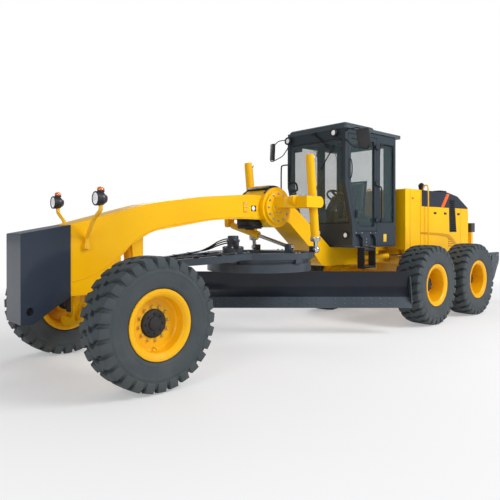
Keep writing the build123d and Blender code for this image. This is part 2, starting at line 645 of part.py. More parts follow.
# ---- Drawbar: ball, two beams, ring plate over the circle, rear cross-beam --------------
circle_x = station(circle_distance)
foot_x = station(lift_foot)
plate_bottom = circle_top + running_gap
bracket_bottom = circle_top + 4
beam_spread = circle_radius - 120               # beams' ends to the sides of the circle's centre
beam_run = sqrt((circle_distance - drawbar_ball) ** 2 + beam_spread ** 2)
beam_half = 45.0
gear_x = circle_x + circle_inner_radius - tooth_height / 2 - pinion_reach
guard_clearance = 6.0
with BuildPart() as drawbar:
    with Locations((ball_x, 0, drawbar_ball_height)):
        Sphere(drawbar_ball_radius, rotation=(90, 0, 0))
        Cylinder(25 + running_gap, 200, rotation=(90, 0, 0), mode=Mode.SUBTRACT)
    block((station(560), ball_x - 40), (-beam_half, beam_half), (1150, 1225))
    for side in (-1, 1):
        beam_way = Vector(-(circle_distance - drawbar_ball), side * beam_spread, 0).normalized()
        with BuildSketch(Plane(origin=(ball_x, 0, 0), x_dir=beam_way, z_dir=(beam_way.Y, -beam_way.X, 0))) as side_view:
            outline([
                # along the beam, height, corner radius
                (110, 1105), (beam_run - circle_radius - 105, 1160, 200), (beam_run - circle_radius - 35, bracket_bottom, 60),
                (beam_run, bracket_bottom), (beam_run, drawbar_top), (beam_run - circle_radius - 35, drawbar_top - 3, 900),
                (110, 1185),
            ])
        extrude(side_view.sketch, amount=beam_half, both=True)
    turned([
        # height, radius
        (plate_bottom, circle_inner_radius - 60), (plate_bottom, circle_radius + 30),
        (drawbar_top, circle_radius + 30), (drawbar_top, circle_radius - 15),
        (drawbar_plate_top, circle_radius - 15), (drawbar_plate_top, circle_inner_radius - 15),
        (drawbar_top, circle_inner_radius - 15), (drawbar_top, circle_inner_radius - 60),
    ], Plane(origin=(circle_x, 0, 0), x_dir=(0, 0, 1), z_dir=(0, 1, 0)))
    # the middle stays open
    rod((circle_x, 0, circle_top), (circle_x, 0, drawbar_top + 1), circle_inner_radius - 61, Mode.SUBTRACT)
    # rear cross-beam with the ball studs of the lift cylinders
    block((foot_x - 70, foot_x + 130), (-lift_y + 90, lift_y - 90), (bracket_bottom, drawbar_top))
    for side in (-1, 1):
        across([
            (side * (lift_y - 90), bracket_bottom), (side * (lift_y - 66), bracket_bottom),
            (side * (lift_y - 66), lift_foot_height + 50, 10), (side * (lift_y - 90), lift_foot_height + 50, 10),
        ], foot_x + 50, foot_x - 50)
        rod((foot_x, side * (lift_y - 67), lift_foot_height), (foot_x, side * (lift_y - 57), lift_foot_height), 34)
    # cross plate that carries the gearbox and motor, and the guard round the pinion below it
    block((gear_x - 170, circle_x + circle_radius - 120), (-170, 170), (bracket_bottom, drawbar_top))
    turned([
        (bracket_bottom, 0), (bracket_bottom, 150), (drawbar_top + 70, 150), (drawbar_top + 90, 130),
        (drawbar_top + 90, 84), (drawbar_top + 150, 84), (drawbar_top + 150, 96, 6), (drawbar_top + 175, 96, 6),
        (drawbar_top + 175, 78), (drawbar_top + 240, 78, 20), (drawbar_top + 240, 0),
    ], Plane(origin=(gear_x, 0, 0), x_dir=(0, 0, 1), z_dir=(0, 1, 0)))
    with BuildSketch(Plane.XY.offset(circle_flange_bottom - 10)) as guard:
        with Locations((gear_x, 0)):
            Circle(120)
        with Locations((circle_x, 0)):
            Circle(circle_inner_radius - tooth_height - guard_clearance, mode=Mode.INTERSECT)
    extrude(guard.sketch, amount=bracket_bottom + 1 - circle_flange_bottom + 10)
    # post of the centre-shift cylinder's eye
    across([
        (shift_eye_y - 45, bracket_bottom), (shift_eye_y + 130, bracket_bottom), (shift_eye_y + 130, drawbar_top),
        (shift_eye_y + 45, shift_eye_height - 20, 20), (shift_eye_y + 45, shift_eye_height + 50, 30),
        (shift_eye_y - 45, shift_eye_height + 50, 30),
    ], saddle_x + 64, saddle_x + 40)
    # shoes that hook into the circle's groove
    for angle in (20, 90, 160, 200, 270, 340):
        shoe = Plane(origin=(circle_x, 0, 0), x_dir=(cos(radians(angle)), sin(radians(angle)), 0),
                     z_dir=(sin(radians(angle)), -cos(radians(angle)), 0))
        with BuildSketch(shoe.offset(-60)) as hook:
            outline([
                (groove_radius + 5, groove_low + 4), (circle_radius + 30, groove_low + 4, 10),
                (circle_radius + 30, circle_top + 20), (circle_radius + 8, circle_top + 20),
                (circle_radius + 8, groove_high - 4), (groove_radius + 5, groove_high - 4),
            ])
        extrude(hook.sketch, amount=120)
save(drawbar.part, "drawbar")

# ---- Circle: toothed ring that turns the blade, with the two arms that carry it ---------
sweep_cos, sweep_sin = cos(radians(blade_angle)), sin(radians(blade_angle))
forward = Vector(sweep_cos, sweep_sin, 0)        # square to the blade, ahead of it
leftward = Vector(-sweep_sin, sweep_cos, 0)      # along the blade to its left end


def blade_plane(offset):
    """Side view of the blade at this distance along it: local x forwards, local y up."""
    origin = Vector(circle_x, 0, 0) + leftward * offset
    return Plane(origin=origin, x_dir=forward, z_dir=-leftward)


def blade_slab(rows, low, high, mode=Mode.ADD):
    """Extrude an outline in the blade's side view between two distances along the blade."""
    with BuildSketch(blade_plane(high)) as view:
        outline(rows)
    extrude(view.sketch, amount=high - low, mode=mode)


def blade_pin(forwards, height, low, high, radius, mode=Mode.ADD):
    """A round bar along the blade."""
    start = Vector(circle_x, 0, height) + forward * forwards
    rod(start + leftward * low, start + leftward * high, radius, mode)


arm_top = circle_flange_bottom + 10
arm_outer = circle_radius - 160                 # arm's outer edge behind the circle's centre
with BuildPart() as circle:
    turned([
        # height, radius
        (circle_flange_bottom, circle_inner_radius), (circle_flange_bottom, skirt_radius),
        (circle_bottom, skirt_radius), (circle_bottom, circle_radius), (groove_low, circle_radius),
        (groove_low, groove_radius), (groove_high, groove_radius), (groove_high, circle_radius),
        (circle_top, circle_radius), (circle_top, circle_inner_radius),
    ], Plane(origin=(circle_x, 0, 0), x_dir=(0, 0, 1), z_dir=(0, 1, 0)))
    # internal teeth that the pinion drives
    tooth_half = tooth_height / 2
    with BuildSketch(Plane(origin=(circle_x, 0, circle_flange_bottom + 10))) as teeth:
        with PolarLocations(circle_inner_radius - tooth_half + 0.5, tooth_count):
            Polygon((-tooth_half - 0.5, -tooth_tip_half), (tooth_half + 0.5, -tooth_root_half),
                    (tooth_half + 0.5, tooth_root_half), (-tooth_half - 0.5, tooth_tip_half))
    extrude(teeth.sketch, amount=circle_top - circle_flange_bottom - 15)
    for middle in (-tip_arm_y, tip_arm_y):
        blade_slab([(-arm_outer, circle_bottom), (-arm_outer, arm_top), (-tip_back - 25, arm_top),
                    (-tip_back - 30, tip_height + 70), (-tip_back, tip_height + 40),
                    (-tip_back, tip_height - 55), (-tip_back - 40, tip_height - 30)],
                   middle - 25, middle + 25)
        blade_pin(-tip_back, tip_height, middle - 25, middle + 25, 55)
        blade_pin(-tip_back, tip_height, middle - 30, middle + 30, tip_pin_radius + running_gap, Mode.SUBTRACT)
save(circle.part, "circle")

# ---- Blade bracket: tips on the circle's arms and guides the blade's rails --------------
bracket_front = -rail_back - running_gap
with BuildPart() as bracket:
    for middle in (-tip_arm_y, tip_arm_y):
        for low in (middle - 60, middle + 28):
            blade_slab([(-tip_back - 45, tip_height), (-tip_back - 20, tip_height - 45), (bracket_front, 540),
                        (bracket_front, 930), (bracket_front - 40, 930)], low, low + 32)
        blade_pin(-tip_back, tip_height, middle - 60, middle + 60, tip_pin_radius)
        for low, high in ((540, 575), (890, 930)):
            blade_slab([(bracket_front - 24, low), (bracket_front + 36, low), (bracket_front + 36, high),
                        (bracket_front - 24, high)], middle - 110, middle + 110)
        for low, high in ((middle - 110, middle - 28), (middle + 28, middle + 110)):
            blade_slab([(bracket_front - 24, 560), (bracket_front, 560), (bracket_front, 905),
                        (bracket_front - 24, 905)], low, high)
    # barrel of the side-shift cylinder
    blade_pin(bracket_front - 14, 735, -950, 350, 48)
    blade_pin(bracket_front - 14, 735, -910, 351, 26 + running_gap, Mode.SUBTRACT)
    blade_pin(bracket_front - 14, 735, 351, 620, 32, Mode.SUBTRACT)
save(bracket.part, "blade_bracket")

# ---- Moldboard: a curved plate with two rails along its back ----------------------------
def arc_x(height, radius):
    """Where the moldboard's arc of this radius lies at a height."""
    return blade_arc_forward - sqrt(radius ** 2 - (height - blade_arc_height) ** 2)


blade_low = blade_shift - blade_length / 2
blade_high = blade_shift + blade_length / 2
plate_low = blade_bottom + 70
outer_arc = blade_arc_radius + blade_thickness
with BuildPart() as moldboard:
    with BuildSketch(blade_plane(blade_high - end_bit)):
        with BuildLine():
            front_face = ThreePointArc((arc_x(plate_low, blade_arc_radius), plate_low),
                                       (arc_x(blade_arc_height, blade_arc_radius), blade_arc_height),
                                       (arc_x(blade_top, blade_arc_radius), blade_top))
            top_edge = Line(front_face @ 1, (arc_x(blade_top, outer_arc), blade_top))
            rear_face = ThreePointArc(top_edge @ 1, (arc_x(blade_arc_height, outer_arc), blade_arc_height),
                                      (arc_x(plate_low, outer_arc), plate_low))
            Line(rear_face @ 1, front_face @ 0)
        make_face()
    extrude(amount=blade_length - 2 * end_bit)
    for height in (lower_rail_height, upper_rail_height):
        rail_front = arc_x(height, outer_arc) + 8
        blade_slab([(-rail_back, height - rail_half_height), (rail_front, height - rail_half_height),
                    (rail_front, height + rail_half_height), (-rail_back, height + rail_half_height)],
                   blade_shift - blade_rail_half_length, blade_shift + blade_rail_half_length)
    # lug and rod of the side-shift cylinder
    blade_slab([(bracket_front - 40, 705), (-290, 705), (-290, 765), (bracket_front - 40, 765)], 1600, 1640)
    blade_pin(bracket_front - 14, 735, 100, 1605, 26)
save(moldboard.part, "moldboard")

# ---- Cutting edge and end bits: wear plates bolted to the moldboard's front ------------
edge_back = arc_x(plate_low, blade_arc_radius)
edge_top = blade_bottom + edge_height
edge_run = Vector(edge_back - arc_x(edge_top, blade_arc_radius), plate_low - edge_top).normalized()
edge_square = Vector(-edge_run.Y, edge_run.X)
edge_root = Vector(arc_x(edge_top, blade_arc_radius), edge_top) + edge_square * running_gap
edge_foot = edge_root + edge_run * ((edge_top - blade_bottom) / -edge_run.Y)
with BuildPart() as cutting_edge:
    edge_rows = [(point.X, point.Y) for point in (
        edge_root, edge_foot, edge_foot + edge_square * edge_thickness, edge_root + edge_square * edge_thickness,
    )]
    blade_slab(edge_rows, blade_low + end_bit, blade_high - end_bit)
    # end bits
    for low, high in ((blade_low, blade_low + end_bit), (blade_high - end_bit, blade_high)):
        blade_slab([(edge_back + 30, blade_bottom + 30), (edge_back + 30, blade_bottom + 170, 40),
                    (-250, blade_top - 80, 30), (-330, blade_top - 80, 20), (-330, blade_bottom + 70, 30),
                    (edge_back - 10, blade_bottom + 30)], low, high)
save(cutting_edge.part, "cutting_edge")

# ---- Cab: floor, pillars, rear wall and lower panels in one shell -----------------------
front_x = station(cab_front)
cab_foot_rows = [
    # the cab's front below its windscreen: behind the front axle, height
    (cab_toe - 10, sill_height), (cab_toe, 1550), (cab_toe, 1345), (cab_toe + 38, cab_floor_height),
]
floor_top = cab_floor_height + 80
door_rows = side_rows([
    (door_front, door_top), (door_front, cab_knee_height + 12), (4020, 1745), (4105, door_bottom),
    (door_rear, door_bottom), (door_rear, door_top),
])
rear_window_rows = side_rows([(4723, 1705, 30), (4723, 3030, 30), (5148, 3030, 30), (5148, 1705, 30)])
rear_window_half = 370.0
pocket_depth = 50.0


def cab_plan(half_width, inset, low, high, mode=Mode.ADD):
    """A prism with the cab's plan, whose rear corners are cut off."""
    rear_x, corner_x = station(cab_rear - inset), station(cab_rear_corner - inset / 2)
    rear_y = cab_rear_half_width - inset / 2
    plate([(front_x + 85, half_width), (corner_x, half_width), (rear_x, rear_y),
           (rear_x, -rear_y), (corner_x, -half_width), (front_x + 85, -half_width)], low, high, mode)


def door_slab(inset, corner, low_y, high_y, mode=Mode.ADD):
    """Extrude the door opening's outline, drawn in by a distance, across the cab's wall."""
    with BuildSketch(Plane.XZ.offset(-high_y)) as side_view:
        outline(door_rows)
        if inset:
            offset(amount=-inset, kind=Kind.INTERSECTION)
        if corner:
            fillet(side_view.vertices(), corner)
    extrude(side_view.sketch, amount=high_y - low_y, mode=mode)


with BuildPart() as cab_shell:
    cab_plan(cab_half_width, 0, cab_floor_height, roof_underside)
    cab_plan(cab_half_width - cab_wall, cab_wall, floor_top, roof_underside + 1, Mode.SUBTRACT)
    # cut back to the front's outline, and wall up its lower part
    slab(side_rows([
        (3600, cab_floor_height - 1), (cab_toe + 39, cab_floor_height - 1), *reversed(cab_foot_rows),
        (cab_front, cab_knee_height), (cab_front, roof_underside + 1), (3600, roof_underside + 1),
    ]), -cab_half_width - 1, cab_half_width + 1, Mode.SUBTRACT)
    slab(side_rows([
        *cab_foot_rows, (cab_toe + 110, cab_floor_height), (cab_toe + 110, floor_top), (cab_toe + 52, floor_top),
        (cab_toe + 52, 1550), (cab_toe + 43, sill_height),
    ]), -cab_half_width + 1, cab_half_width - 1)
    block((front_x - 70, front_x), (-cab_half_width + 1, cab_half_width - 1), (header_height, roof_underside))
    for side in (-1, 1):
        wall_y = span(side, cab_half_width - 100, cab_half_width + 100)
        door_slab(0, 0, *wall_y, Mode.SUBTRACT)
        slab(rear_window_rows, *wall_y, Mode.SUBTRACT)
        # pockets for the feet beside the steps
        for rows in (
            [(4040, 1310, 6), (4040, 1515, 12), (4175, 1515, 12), (4245, 1440, 12), (4245, 1310, 6)],
            [(4445, 1310, 6), (4445, 1515, 12), (4550, 1515, 12), (4612, 1440, 12), (4612, 1310, 6)],
        ):
            slab(side_rows(rows), *span(side, cab_half_width - pocket_depth, cab_half_width + 1), Mode.SUBTRACT)
    # rear window
    block((station(cab_rear + 50), station(cab_rear - 100)), (-rear_window_half, rear_window_half),
          (1800, 3030), Mode.SUBTRACT)
    # grab rail beside the right-hand end of the windscreen
    rail_x = front_x + 18
    for height in (2690, 2380):
        rod((front_x - 4, -cab_half_width + 30, height), (rail_x, -cab_half_width + 30, height), 9)
    rod((rail_x, -cab_half_width + 30, 2705), (rail_x, -cab_half_width + 30, 2365), 11)
save(cab_shell.part, "cab_shell")

# ---- Cab roof: a flat cap with eaves and a raised front part ----------------------------
with BuildPart() as cab_roof:
    plate([(station(3780), 630, 50), (station(5370), 630, 60), (station(5370), -630, 60),
           (station(3780), -630, 50)], roof_underside, roof_edge)
    plate([(station(3800), 600, 60), (station(4600), 600, 60), (station(4600), -600, 60),
           (station(3800), -600, 60)], roof_edge - 1, roof_top)
    chamfer(cab_roof.edges().group_by(Axis.Z)[-1], 24)
save(cab_roof.part, "cab_roof")

# ---- Cab glass: bent windscreen, rear window and rear side windows ----------------------
glass_inset = 4.0
with BuildPart() as cab_glass:
    slab(side_rows([
        (cab_front + glass_inset, header_height), (cab_front + glass_inset, cab_knee_height, 60),
        (cab_toe - 10 + glass_inset, sill_height), (cab_toe - 10 + glass_inset + glass, sill_height),
        (cab_front + glass_inset + glass, cab_knee_height + 1, 52), (cab_front + glass_inset + glass, header_height),
    ]), -cab_half_width + cab_wall, cab_half_width - cab_wall)
    block((station(cab_rear - 20), station(cab_rear - 20 - glass)), (-rear_window_half, rear_window_half), (1800, 3030))
    for side in (-1, 1):
        slab(rear_window_rows, *span(side, cab_half_width - 26 - glass, cab_half_width - 26))
save(cab_glass.part, "cab_glass")

# ---- Doors: frame and glass, hinged on their rear edge ----------------------------------
door_x = station(door_rear)
hinge_y = cab_half_width + knuckle_offset
with BuildPart() as door:
    door_slab(door_gap, 20, cab_half_width - door_thickness, cab_half_width)
    door_slab(door_frame, 40, cab_half_width - door_thickness - 1, cab_half_width + 1, Mode.SUBTRACT)
    # hinge knuckles on the rear edge, and the handle by the front edge
    for height in (1750, 2350, 2950):
        rod((door_x, hinge_y, height - 45), (door_x, hinge_y, height + 45), knuckle_radius)
        block((door_x, door_x + 60), (cab_half_width, hinge_y + 8), (height - 30, height + 30))
    block((station(4072), station(4040)), (cab_half_width - 1, cab_half_width + 30), (1780, 1900))
save(door.part, "door_left")
save_mirrored(door.part, "door_right")
with BuildPart() as door_glass:
    door_slab(door_frame, 40, cab_half_width - 22 - glass, cab_half_width - 22)
save(door_glass.part, "door_glass_left")
save_mirrored(door_glass.part, "door_glass_right")

# ---- Seat and controls ------------------------------------------------------------------
seat_x = station(4620)
with BuildPart() as seat:
    block((seat_x - 200, seat_x + 180), (-190, 190), (floor_top, 1640))
    plate([(seat_x - 260, -250, 40), (seat_x + 260, -250, 90), (seat_x + 260, 250, 90), (seat_x - 260, 250, 40)],
          1640, 1790)
    slab([(seat_x - 250, 1790), (seat_x - 110, 1790), (seat_x - 200, 2480, 50), (seat_x - 310, 2480, 30)],
         -240, 240)
save(seat.part, "seat")

with BuildPart() as console:
    block((station(4230), station(4130)), (-130, 130), (floor_top, 1900))
    slab(side_rows([(4230, 1900), (4130, 1900), (4330, 2160, 10), (4390, 2120, 10)]), -70, 70)
    wheel_tilt = Plane(origin=(station(4358), 0, 2138), z_dir=(-0.55, 0, 0.83))
    with BuildSketch(wheel_tilt) as hoop:
        Circle(190)
        Circle(165, mode=Mode.SUBTRACT)
        Rectangle(340, 40)
    extrude(hoop.sketch, amount=26)
    for side in (-1, 1):
        slab(side_rows([(4750, floor_top), (4400, floor_top), (4400, 1860, 40), (4750, 1820, 40)]),
             *span(side, 260, 400))
        rod((station(4440), side * 330, 1850), (station(4430), side * 330, 2010), 22)
save(console.part, "control_console")

# ---- Headlamps on bent posts ------------------------------------------------------------
lamp_x = station(-265)
lamp_y, lamp_height, lamp_radius = 550.0, 1910.0, 72.0
post_y = frame_half_width + 26
with BuildPart() as headlamps:
    for side in (-1, 1):
        tube([(lamp_x, side * post_y, 1380), (lamp_x, side * post_y, 1500), (lamp_x, side * 390, 1700),
              (lamp_x, side * lamp_y, 1790), (lamp_x, side * lamp_y, 1870)], 22, [60, 90, 50])
        block((lamp_x - 30, lamp_x + 30), span(side, frame_half_width, frame_half_width + 40), (1380, 1440))
        turned([
            (0, 0), (0, 40, 14), (44, lamp_radius, 26), (118, lamp_radius, 8), (118, 0),
        ], along_axis((lamp_x - 60, side * lamp_y, lamp_height), (lamp_x + 60, side * lamp_y, lamp_height)))
save(headlamps.part, "headlamps")

# ---- Mirrors on their looped arms -------------------------------------------------------
mirror_x = front_x - 8
with BuildPart() as mirrors:
    for side in (-1, 1):
        for low in (3120, 2965):
            block((front_x - 50, front_x), span(side, cab_half_width, cab_half_width + 12), (low, low + 36))
        tube([
            (mirror_x, side * y, z) for y, z in (
                (cab_half_width + 8, 3140), (850, 3140), (980, 3050), (1050, 2830), (1000, 2790),
                (720, 2870), (660, 2983), (cab_half_width + 8, 2983),
            )
        ], 9, 18)
        with Locations(Location((front_x + 15, side * 960, 2960), (side * 8, 0, side * -36))):
            Box(50, 200, 300)
save(mirrors.part, "mirrors")

# ---- Steps: ladders below both doors ----------------------------------------------------
step_rails = (4130, 4430)
with BuildPart() as steps:
    for side in (-1, 1):
        for rail in step_rails:
            block((station(rail + 15), station(rail - 15)), span(side, 600, 720), (970, cab_floor_height))
        for height in (975, 1250):
            block((station(step_rails[1]), station(step_rails[0])), span(side, 600, 720), (height, height + 25))
save(steps.part, "cab_steps")

# ---- Rear frame: fork of the hinge, side rails, cross members, axle and ripper bracket --
pivot_x = station(ripper_pivot)
tow_x = station(rear_frame_end + 32)
with BuildPart() as rear_frame:
    for low in (tongue_low - 5 - fork_plate, tongue_high + 5):
        plate([(hinge_x, 120), (station(5760), 200, 40), (station(5760), -200, 40), (hinge_x, -120)],
              low, low + fork_plate)
        rod((hinge_x, 0, low), (hinge_x, 0, low + fork_plate), 120)
    rod((hinge_x, 0, tongue_low - 5 - fork_plate), (hinge_x, 0, tongue_high + 5 + fork_plate), hinge_pin_radius)
    block((station(5860), station(5700)), (-rail_outer, rail_outer), (rail_low, rail_high + 60))
    hood_seat = hood_half_width - hood_wall - running_gap
    for distance in (5780, 7800):
        block((station(distance + 60), station(distance - 60)), (-hood_seat, hood_seat), (rail_high, rail_high + 80))
    for side in (-1, 1):
        block((station(rear_frame_end), station(5780)), span(side, rail_inner, rail_outer), (rail_low, rail_high))
    # counterweight with the tail lamps on top
    plate([(station(counterweight_front), 620), (station(rear_frame_end), 620, 30),
           (station(rear_frame_end), -620, 30), (station(counterweight_front), -620)], 820, 1500)
    for side in (-1, 1):
        block((station(rear_frame_end - 10), station(counterweight_front + 10)), span(side, 550, 610), (1499, 1540))
        slab(side_rows([
            (counterweight_front + 10, 1538), (rear_frame_end + 70, 1538, 12), (rear_frame_end + 70, 1728, 12),
            (counterweight_front + 10, 1728, 30),
        ]), *span(side, 540, 620))
    # rear axle across the frame, below the rails
    axle_centre = axle_height + 60
    rod((station(wheelbase), -tandem_inner, axle_centre), (station(wheelbase), tandem_inner, axle_centre), 150)
    block((station(wheelbase + 170), station(wheelbase - 170)), (-300, 300), (axle_height, rail_low + 20))
    # brackets for the articulation cylinders
    for side in (-1, 1):
        for low in (artic_height - 74, artic_height + 50):
            block((station(5800), station(5720)), span(side, rail_outer - 1, 480), (low, low + 24))
    # ripper bracket: ears for the arms and for the cylinder
    for y in (-ripper_arm_y, ripper_arm_y):
        for side in (-1, 1):
            slab([
                (station(rear_frame_end), ripper_pivot_height - 90), (pivot_x - 50, ripper_pivot_height - 50, 45),
                (pivot_x - 50, ripper_pivot_height + 50, 45), (station(rear_frame_end), ripper_pivot_height + 90),
            ], *sorted((y + side * 34, y + side * 64)))
        rod((pivot_x, y - 64 - pin_head, ripper_pivot_height), (pivot_x, y + 64 + pin_head, ripper_pivot_height),
            ripper_pin_radius)
    for side in (-1, 1):
        slab([
            (station(rear_frame_end), ripper_cylinder_height - 70), (pivot_x - 40, ripper_cylinder_height - 45, 35),
            (pivot_x - 40, ripper_cylinder_height + 45, 35), (station(rear_frame_end), ripper_cylinder_height + 70),
        ], *span(side, 54, 80))
    rod((pivot_x, -80 - pin_head, ripper_cylinder_height), (pivot_x, 80 + pin_head, ripper_cylinder_height), 24)
    # towing clevis below the counterweight
    for low in (680, 782):
        plate([(tow_x - 40, -60, 38), (tow_x - 40, 60, 38), (station(counterweight_front), 60),
               (station(counterweight_front), -60)], low, low + 40)
    block((station(rear_frame_end - 20), station(counterweight_front)), (-60, 60), (680, 830))
    rod((tow_x, 0, 670), (tow_x, 0, 830), 20, Mode.SUBTRACT)
save(rear_frame.part, "rear_frame")

# ---- Tandem cases, one each side, with the stub axles of the four rear wheels -----------
case_front, case_rear = wheelbase - tandem_spacing / 2, wheelbase + tandem_spacing / 2
with BuildPart() as tandem:
    for side in (-1, 1):
        slab(side_rows([
            (case_front - tandem_radius, axle_height - tandem_radius, tandem_radius - 10),
            (case_front - tandem_radius, axle_height + tandem_radius, tandem_radius - 10),
            (wheelbase, axle_height + tandem_radius + 50, 600),
            (case_rear + tandem_radius, axle_height + tandem_radius, tandem_radius - 10),
            (case_rear + tandem_radius, axle_height - tandem_radius, tandem_radius - 10),
        ]), *span(side, tandem_inner, tandem_outer))
        for distance in (case_front, case_rear):
            hub_x = station(distance)
            rod((hub_x, side * (tandem_outer - 1), axle_height), (hub_x, side * (track / 2 - 75), axle_height),
                tandem_axle_radius)
            rod((hub_x, side * (tandem_outer - 1), axle_height),
                (hub_x, side * (track / 2 - 210 - running_gap), axle_height), 110)
save(tandem.part, "tandem_cases")

# ---- Hood: a shell over the engine, open below ------------------------------------------
hood_rows = side_rows([
    (hood_front, hood_bottom), (hood_front, hood_top, 30), (7100, hood_top, 300), (7513, 2262, 300),
    (hood_rear_top, 2040, 50), (hood_rear, 1290), (hood_rear, hood_bottom),
])
hood_corner = 90.0              # the rear corners are cut off in plan
louvre_top, louvre_bottom = 2190.0, 1540.0
louvre_rows = side_rows([
    (7150, louvre_top, 10), (7396, louvre_top, 10), (7487, louvre_bottom, 10), (7181, louvre_bottom, 10),
])


def hood_body(inset):
    """The hood's solid shape, drawn in from its skin by a distance."""
    half_width = hood_half_width - inset
    corner = hood_corner - inset / 2
    rear_x = station(hood_rear - inset)
    with BuildPart() as body:
        with BuildSketch(Plane.XZ.offset(-half_width)) as side_view:
            outline(hood_rows)
            if inset:
                offset(amount=-inset, kind=Kind.INTERSECTION)
        extrude(side_view.sketch, amount=2 * half_width)
        plate([(station(hood_front - 1), half_width), (rear_x + corner, half_width), (rear_x, half_width - corner),
               (rear_x, -half_width + corner), (rear_x + corner, -half_width),
               (station(hood_front - 1), -half_width)], hood_bottom - 1, hood_top + 1, Mode.INTERSECT)
    return body.part


def rear_wall(height):
    """How far behind the front axle the hood's sloping rear wall lies at a height."""
    return hood_rear - (height - 1290) * (hood_rear - hood_rear_top) / (2040 - 1290)


with BuildPart() as hood:
    add(hood_body(0))
    add(hood_body(hood_wall), mode=Mode.SUBTRACT)
    # open below, and cut out round the frame's rails and the hinge's fork
    inner = hood_half_width - hood_wall
    block((station(hood_rear - hood_wall - 1), station(hood_front + hood_wall)), (-inner + 30, inner - 30),
          (hood_bottom - 1, hood_bottom + 60), Mode.SUBTRACT)
    block((station(hood_rear - hood_corner - 5), station(hood_front - 1)), (-inner, inner),
          (hood_bottom - 1, hood_arch), Mode.SUBTRACT)
    block((station(hood_rear + 1), station(hood_front - 1)), (-480, 480), (hood_bottom - 1, hood_arch), Mode.SUBTRACT)
    block((station(hood_front + hood_wall + 1), station(hood_front - 1)), (-240, 240),
          (hood_bottom - 1, tongue_high + fork_plate + 30), Mode.SUBTRACT)
    for side in (-1, 1):
        slab(louvre_rows, *span(side, inner - 1, hood_half_width + 1), Mode.SUBTRACT)
    block((station(hood_rear + 1), station(hood_rear_top - 60)), (-430, 430), (1520, 1900), Mode.SUBTRACT)
save(hood.part, "hood")

# ---- Grilles: louvred panels in the hood's sides and its rear wall ----------------------
slat_pitch = 42.0
slot_height = 20.0
slot_margin = 26.0
with BuildPart() as grilles:
    for side in (-1, 1):
        with BuildSketch(Plane.XZ.offset(-max(span(side, inner + 2, hood_half_width - 3)))) as panel:
            outline(louvre_rows)
            offset(amount=-running_gap, kind=Kind.INTERSECTION)
        extrude(panel.sketch, amount=hood_half_width - 5 - inner)
        for row in range(int((louvre_top - louvre_bottom) / slat_pitch)):
            low = louvre_bottom + 20 + row * slat_pitch
            share = (louvre_top - low - slot_height / 2) / (louvre_top - louvre_bottom)
            if low + slot_height < louvre_top - 10:
                block((station(7396 + share * 91 - slot_margin), station(7150 + share * 31 + slot_margin)),
                      span(side, inner, hood_half_width + 1), (low, low + slot_height), Mode.SUBTRACT)
    slab(side_rows([
        (rear_wall(1520) - 3, 1520.3), (rear_wall(1900) - 3, 1899.7), (rear_wall(1900) - 22, 1899.7),
        (rear_wall(1520) - 22, 1520.3),
    ]), -429.7, 429.7)
    for row in range(8):
        low = 1545 + row * slat_pitch
        for centre in (-285, 0, 285):
            block((station(hood_rear + 1), station(hood_rear_top - 60)), (centre - 125, centre + 125),
                  (low, low + slot_height), Mode.SUBTRACT)
save(grilles.part, "hood_grilles")

# ---- Exhaust stack and engine -----------------------------------------------------------
with BuildPart() as exhaust:
    turned([
        # up from the hood's top, radius
        (0.3, 0), (0.3, 78), (12, 78), (12, 50), (110, 50), (110, 58), (150, 58, 20), (188, 26, 24), (192, 0),
    ], along_axis((station(6721), 250, hood_top), (station(6721), 250, hood_top + 100)))
save(exhaust.part, "exhaust")
with BuildPart() as engine:
    block((station(7350), station(5950)), (-rail_outer, rail_outer), (rail_high, 1950))
save(engine.part, "engine_block")

# ---- Articulation cylinders -------------------------------------------------------------
for name, side in (("left", 1), ("right", -1)):
    start = Vector(station(artic_front), side * artic_front_y, artic_height)
    end = Vector(station(artic_rear), side * artic_rear_y, artic_height)
    along = (end - start).normalized()
    up = Vector(0, 0, 1)
    with BuildPart() as barrel:
        turned([
            (36, 0), (36, 42, 8), (590, 42), (590, 48, 3), (640, 48, 4), (640, 0),
        ], along_axis(start, end))
        rod(start - up * 44, start + up * 44, 40)
        rod(start - up * 45, start + up * 45, 20 + running_gap, Mode.SUBTRACT)
        rod(start + along * 60, start + along * 641, 24 + running_gap, Mode.SUBTRACT)
    save(barrel.part, f"articulation_barrel_{name}")
    with BuildPart() as piston:
        rod(start + along * 320, end, 24)
        rod(end - up * 44, end + up * 44, 40)
        rod(end - up * 45, end + up * 45, 24, Mode.SUBTRACT)
    save(piston.part, f"articulation_rod_{name}")

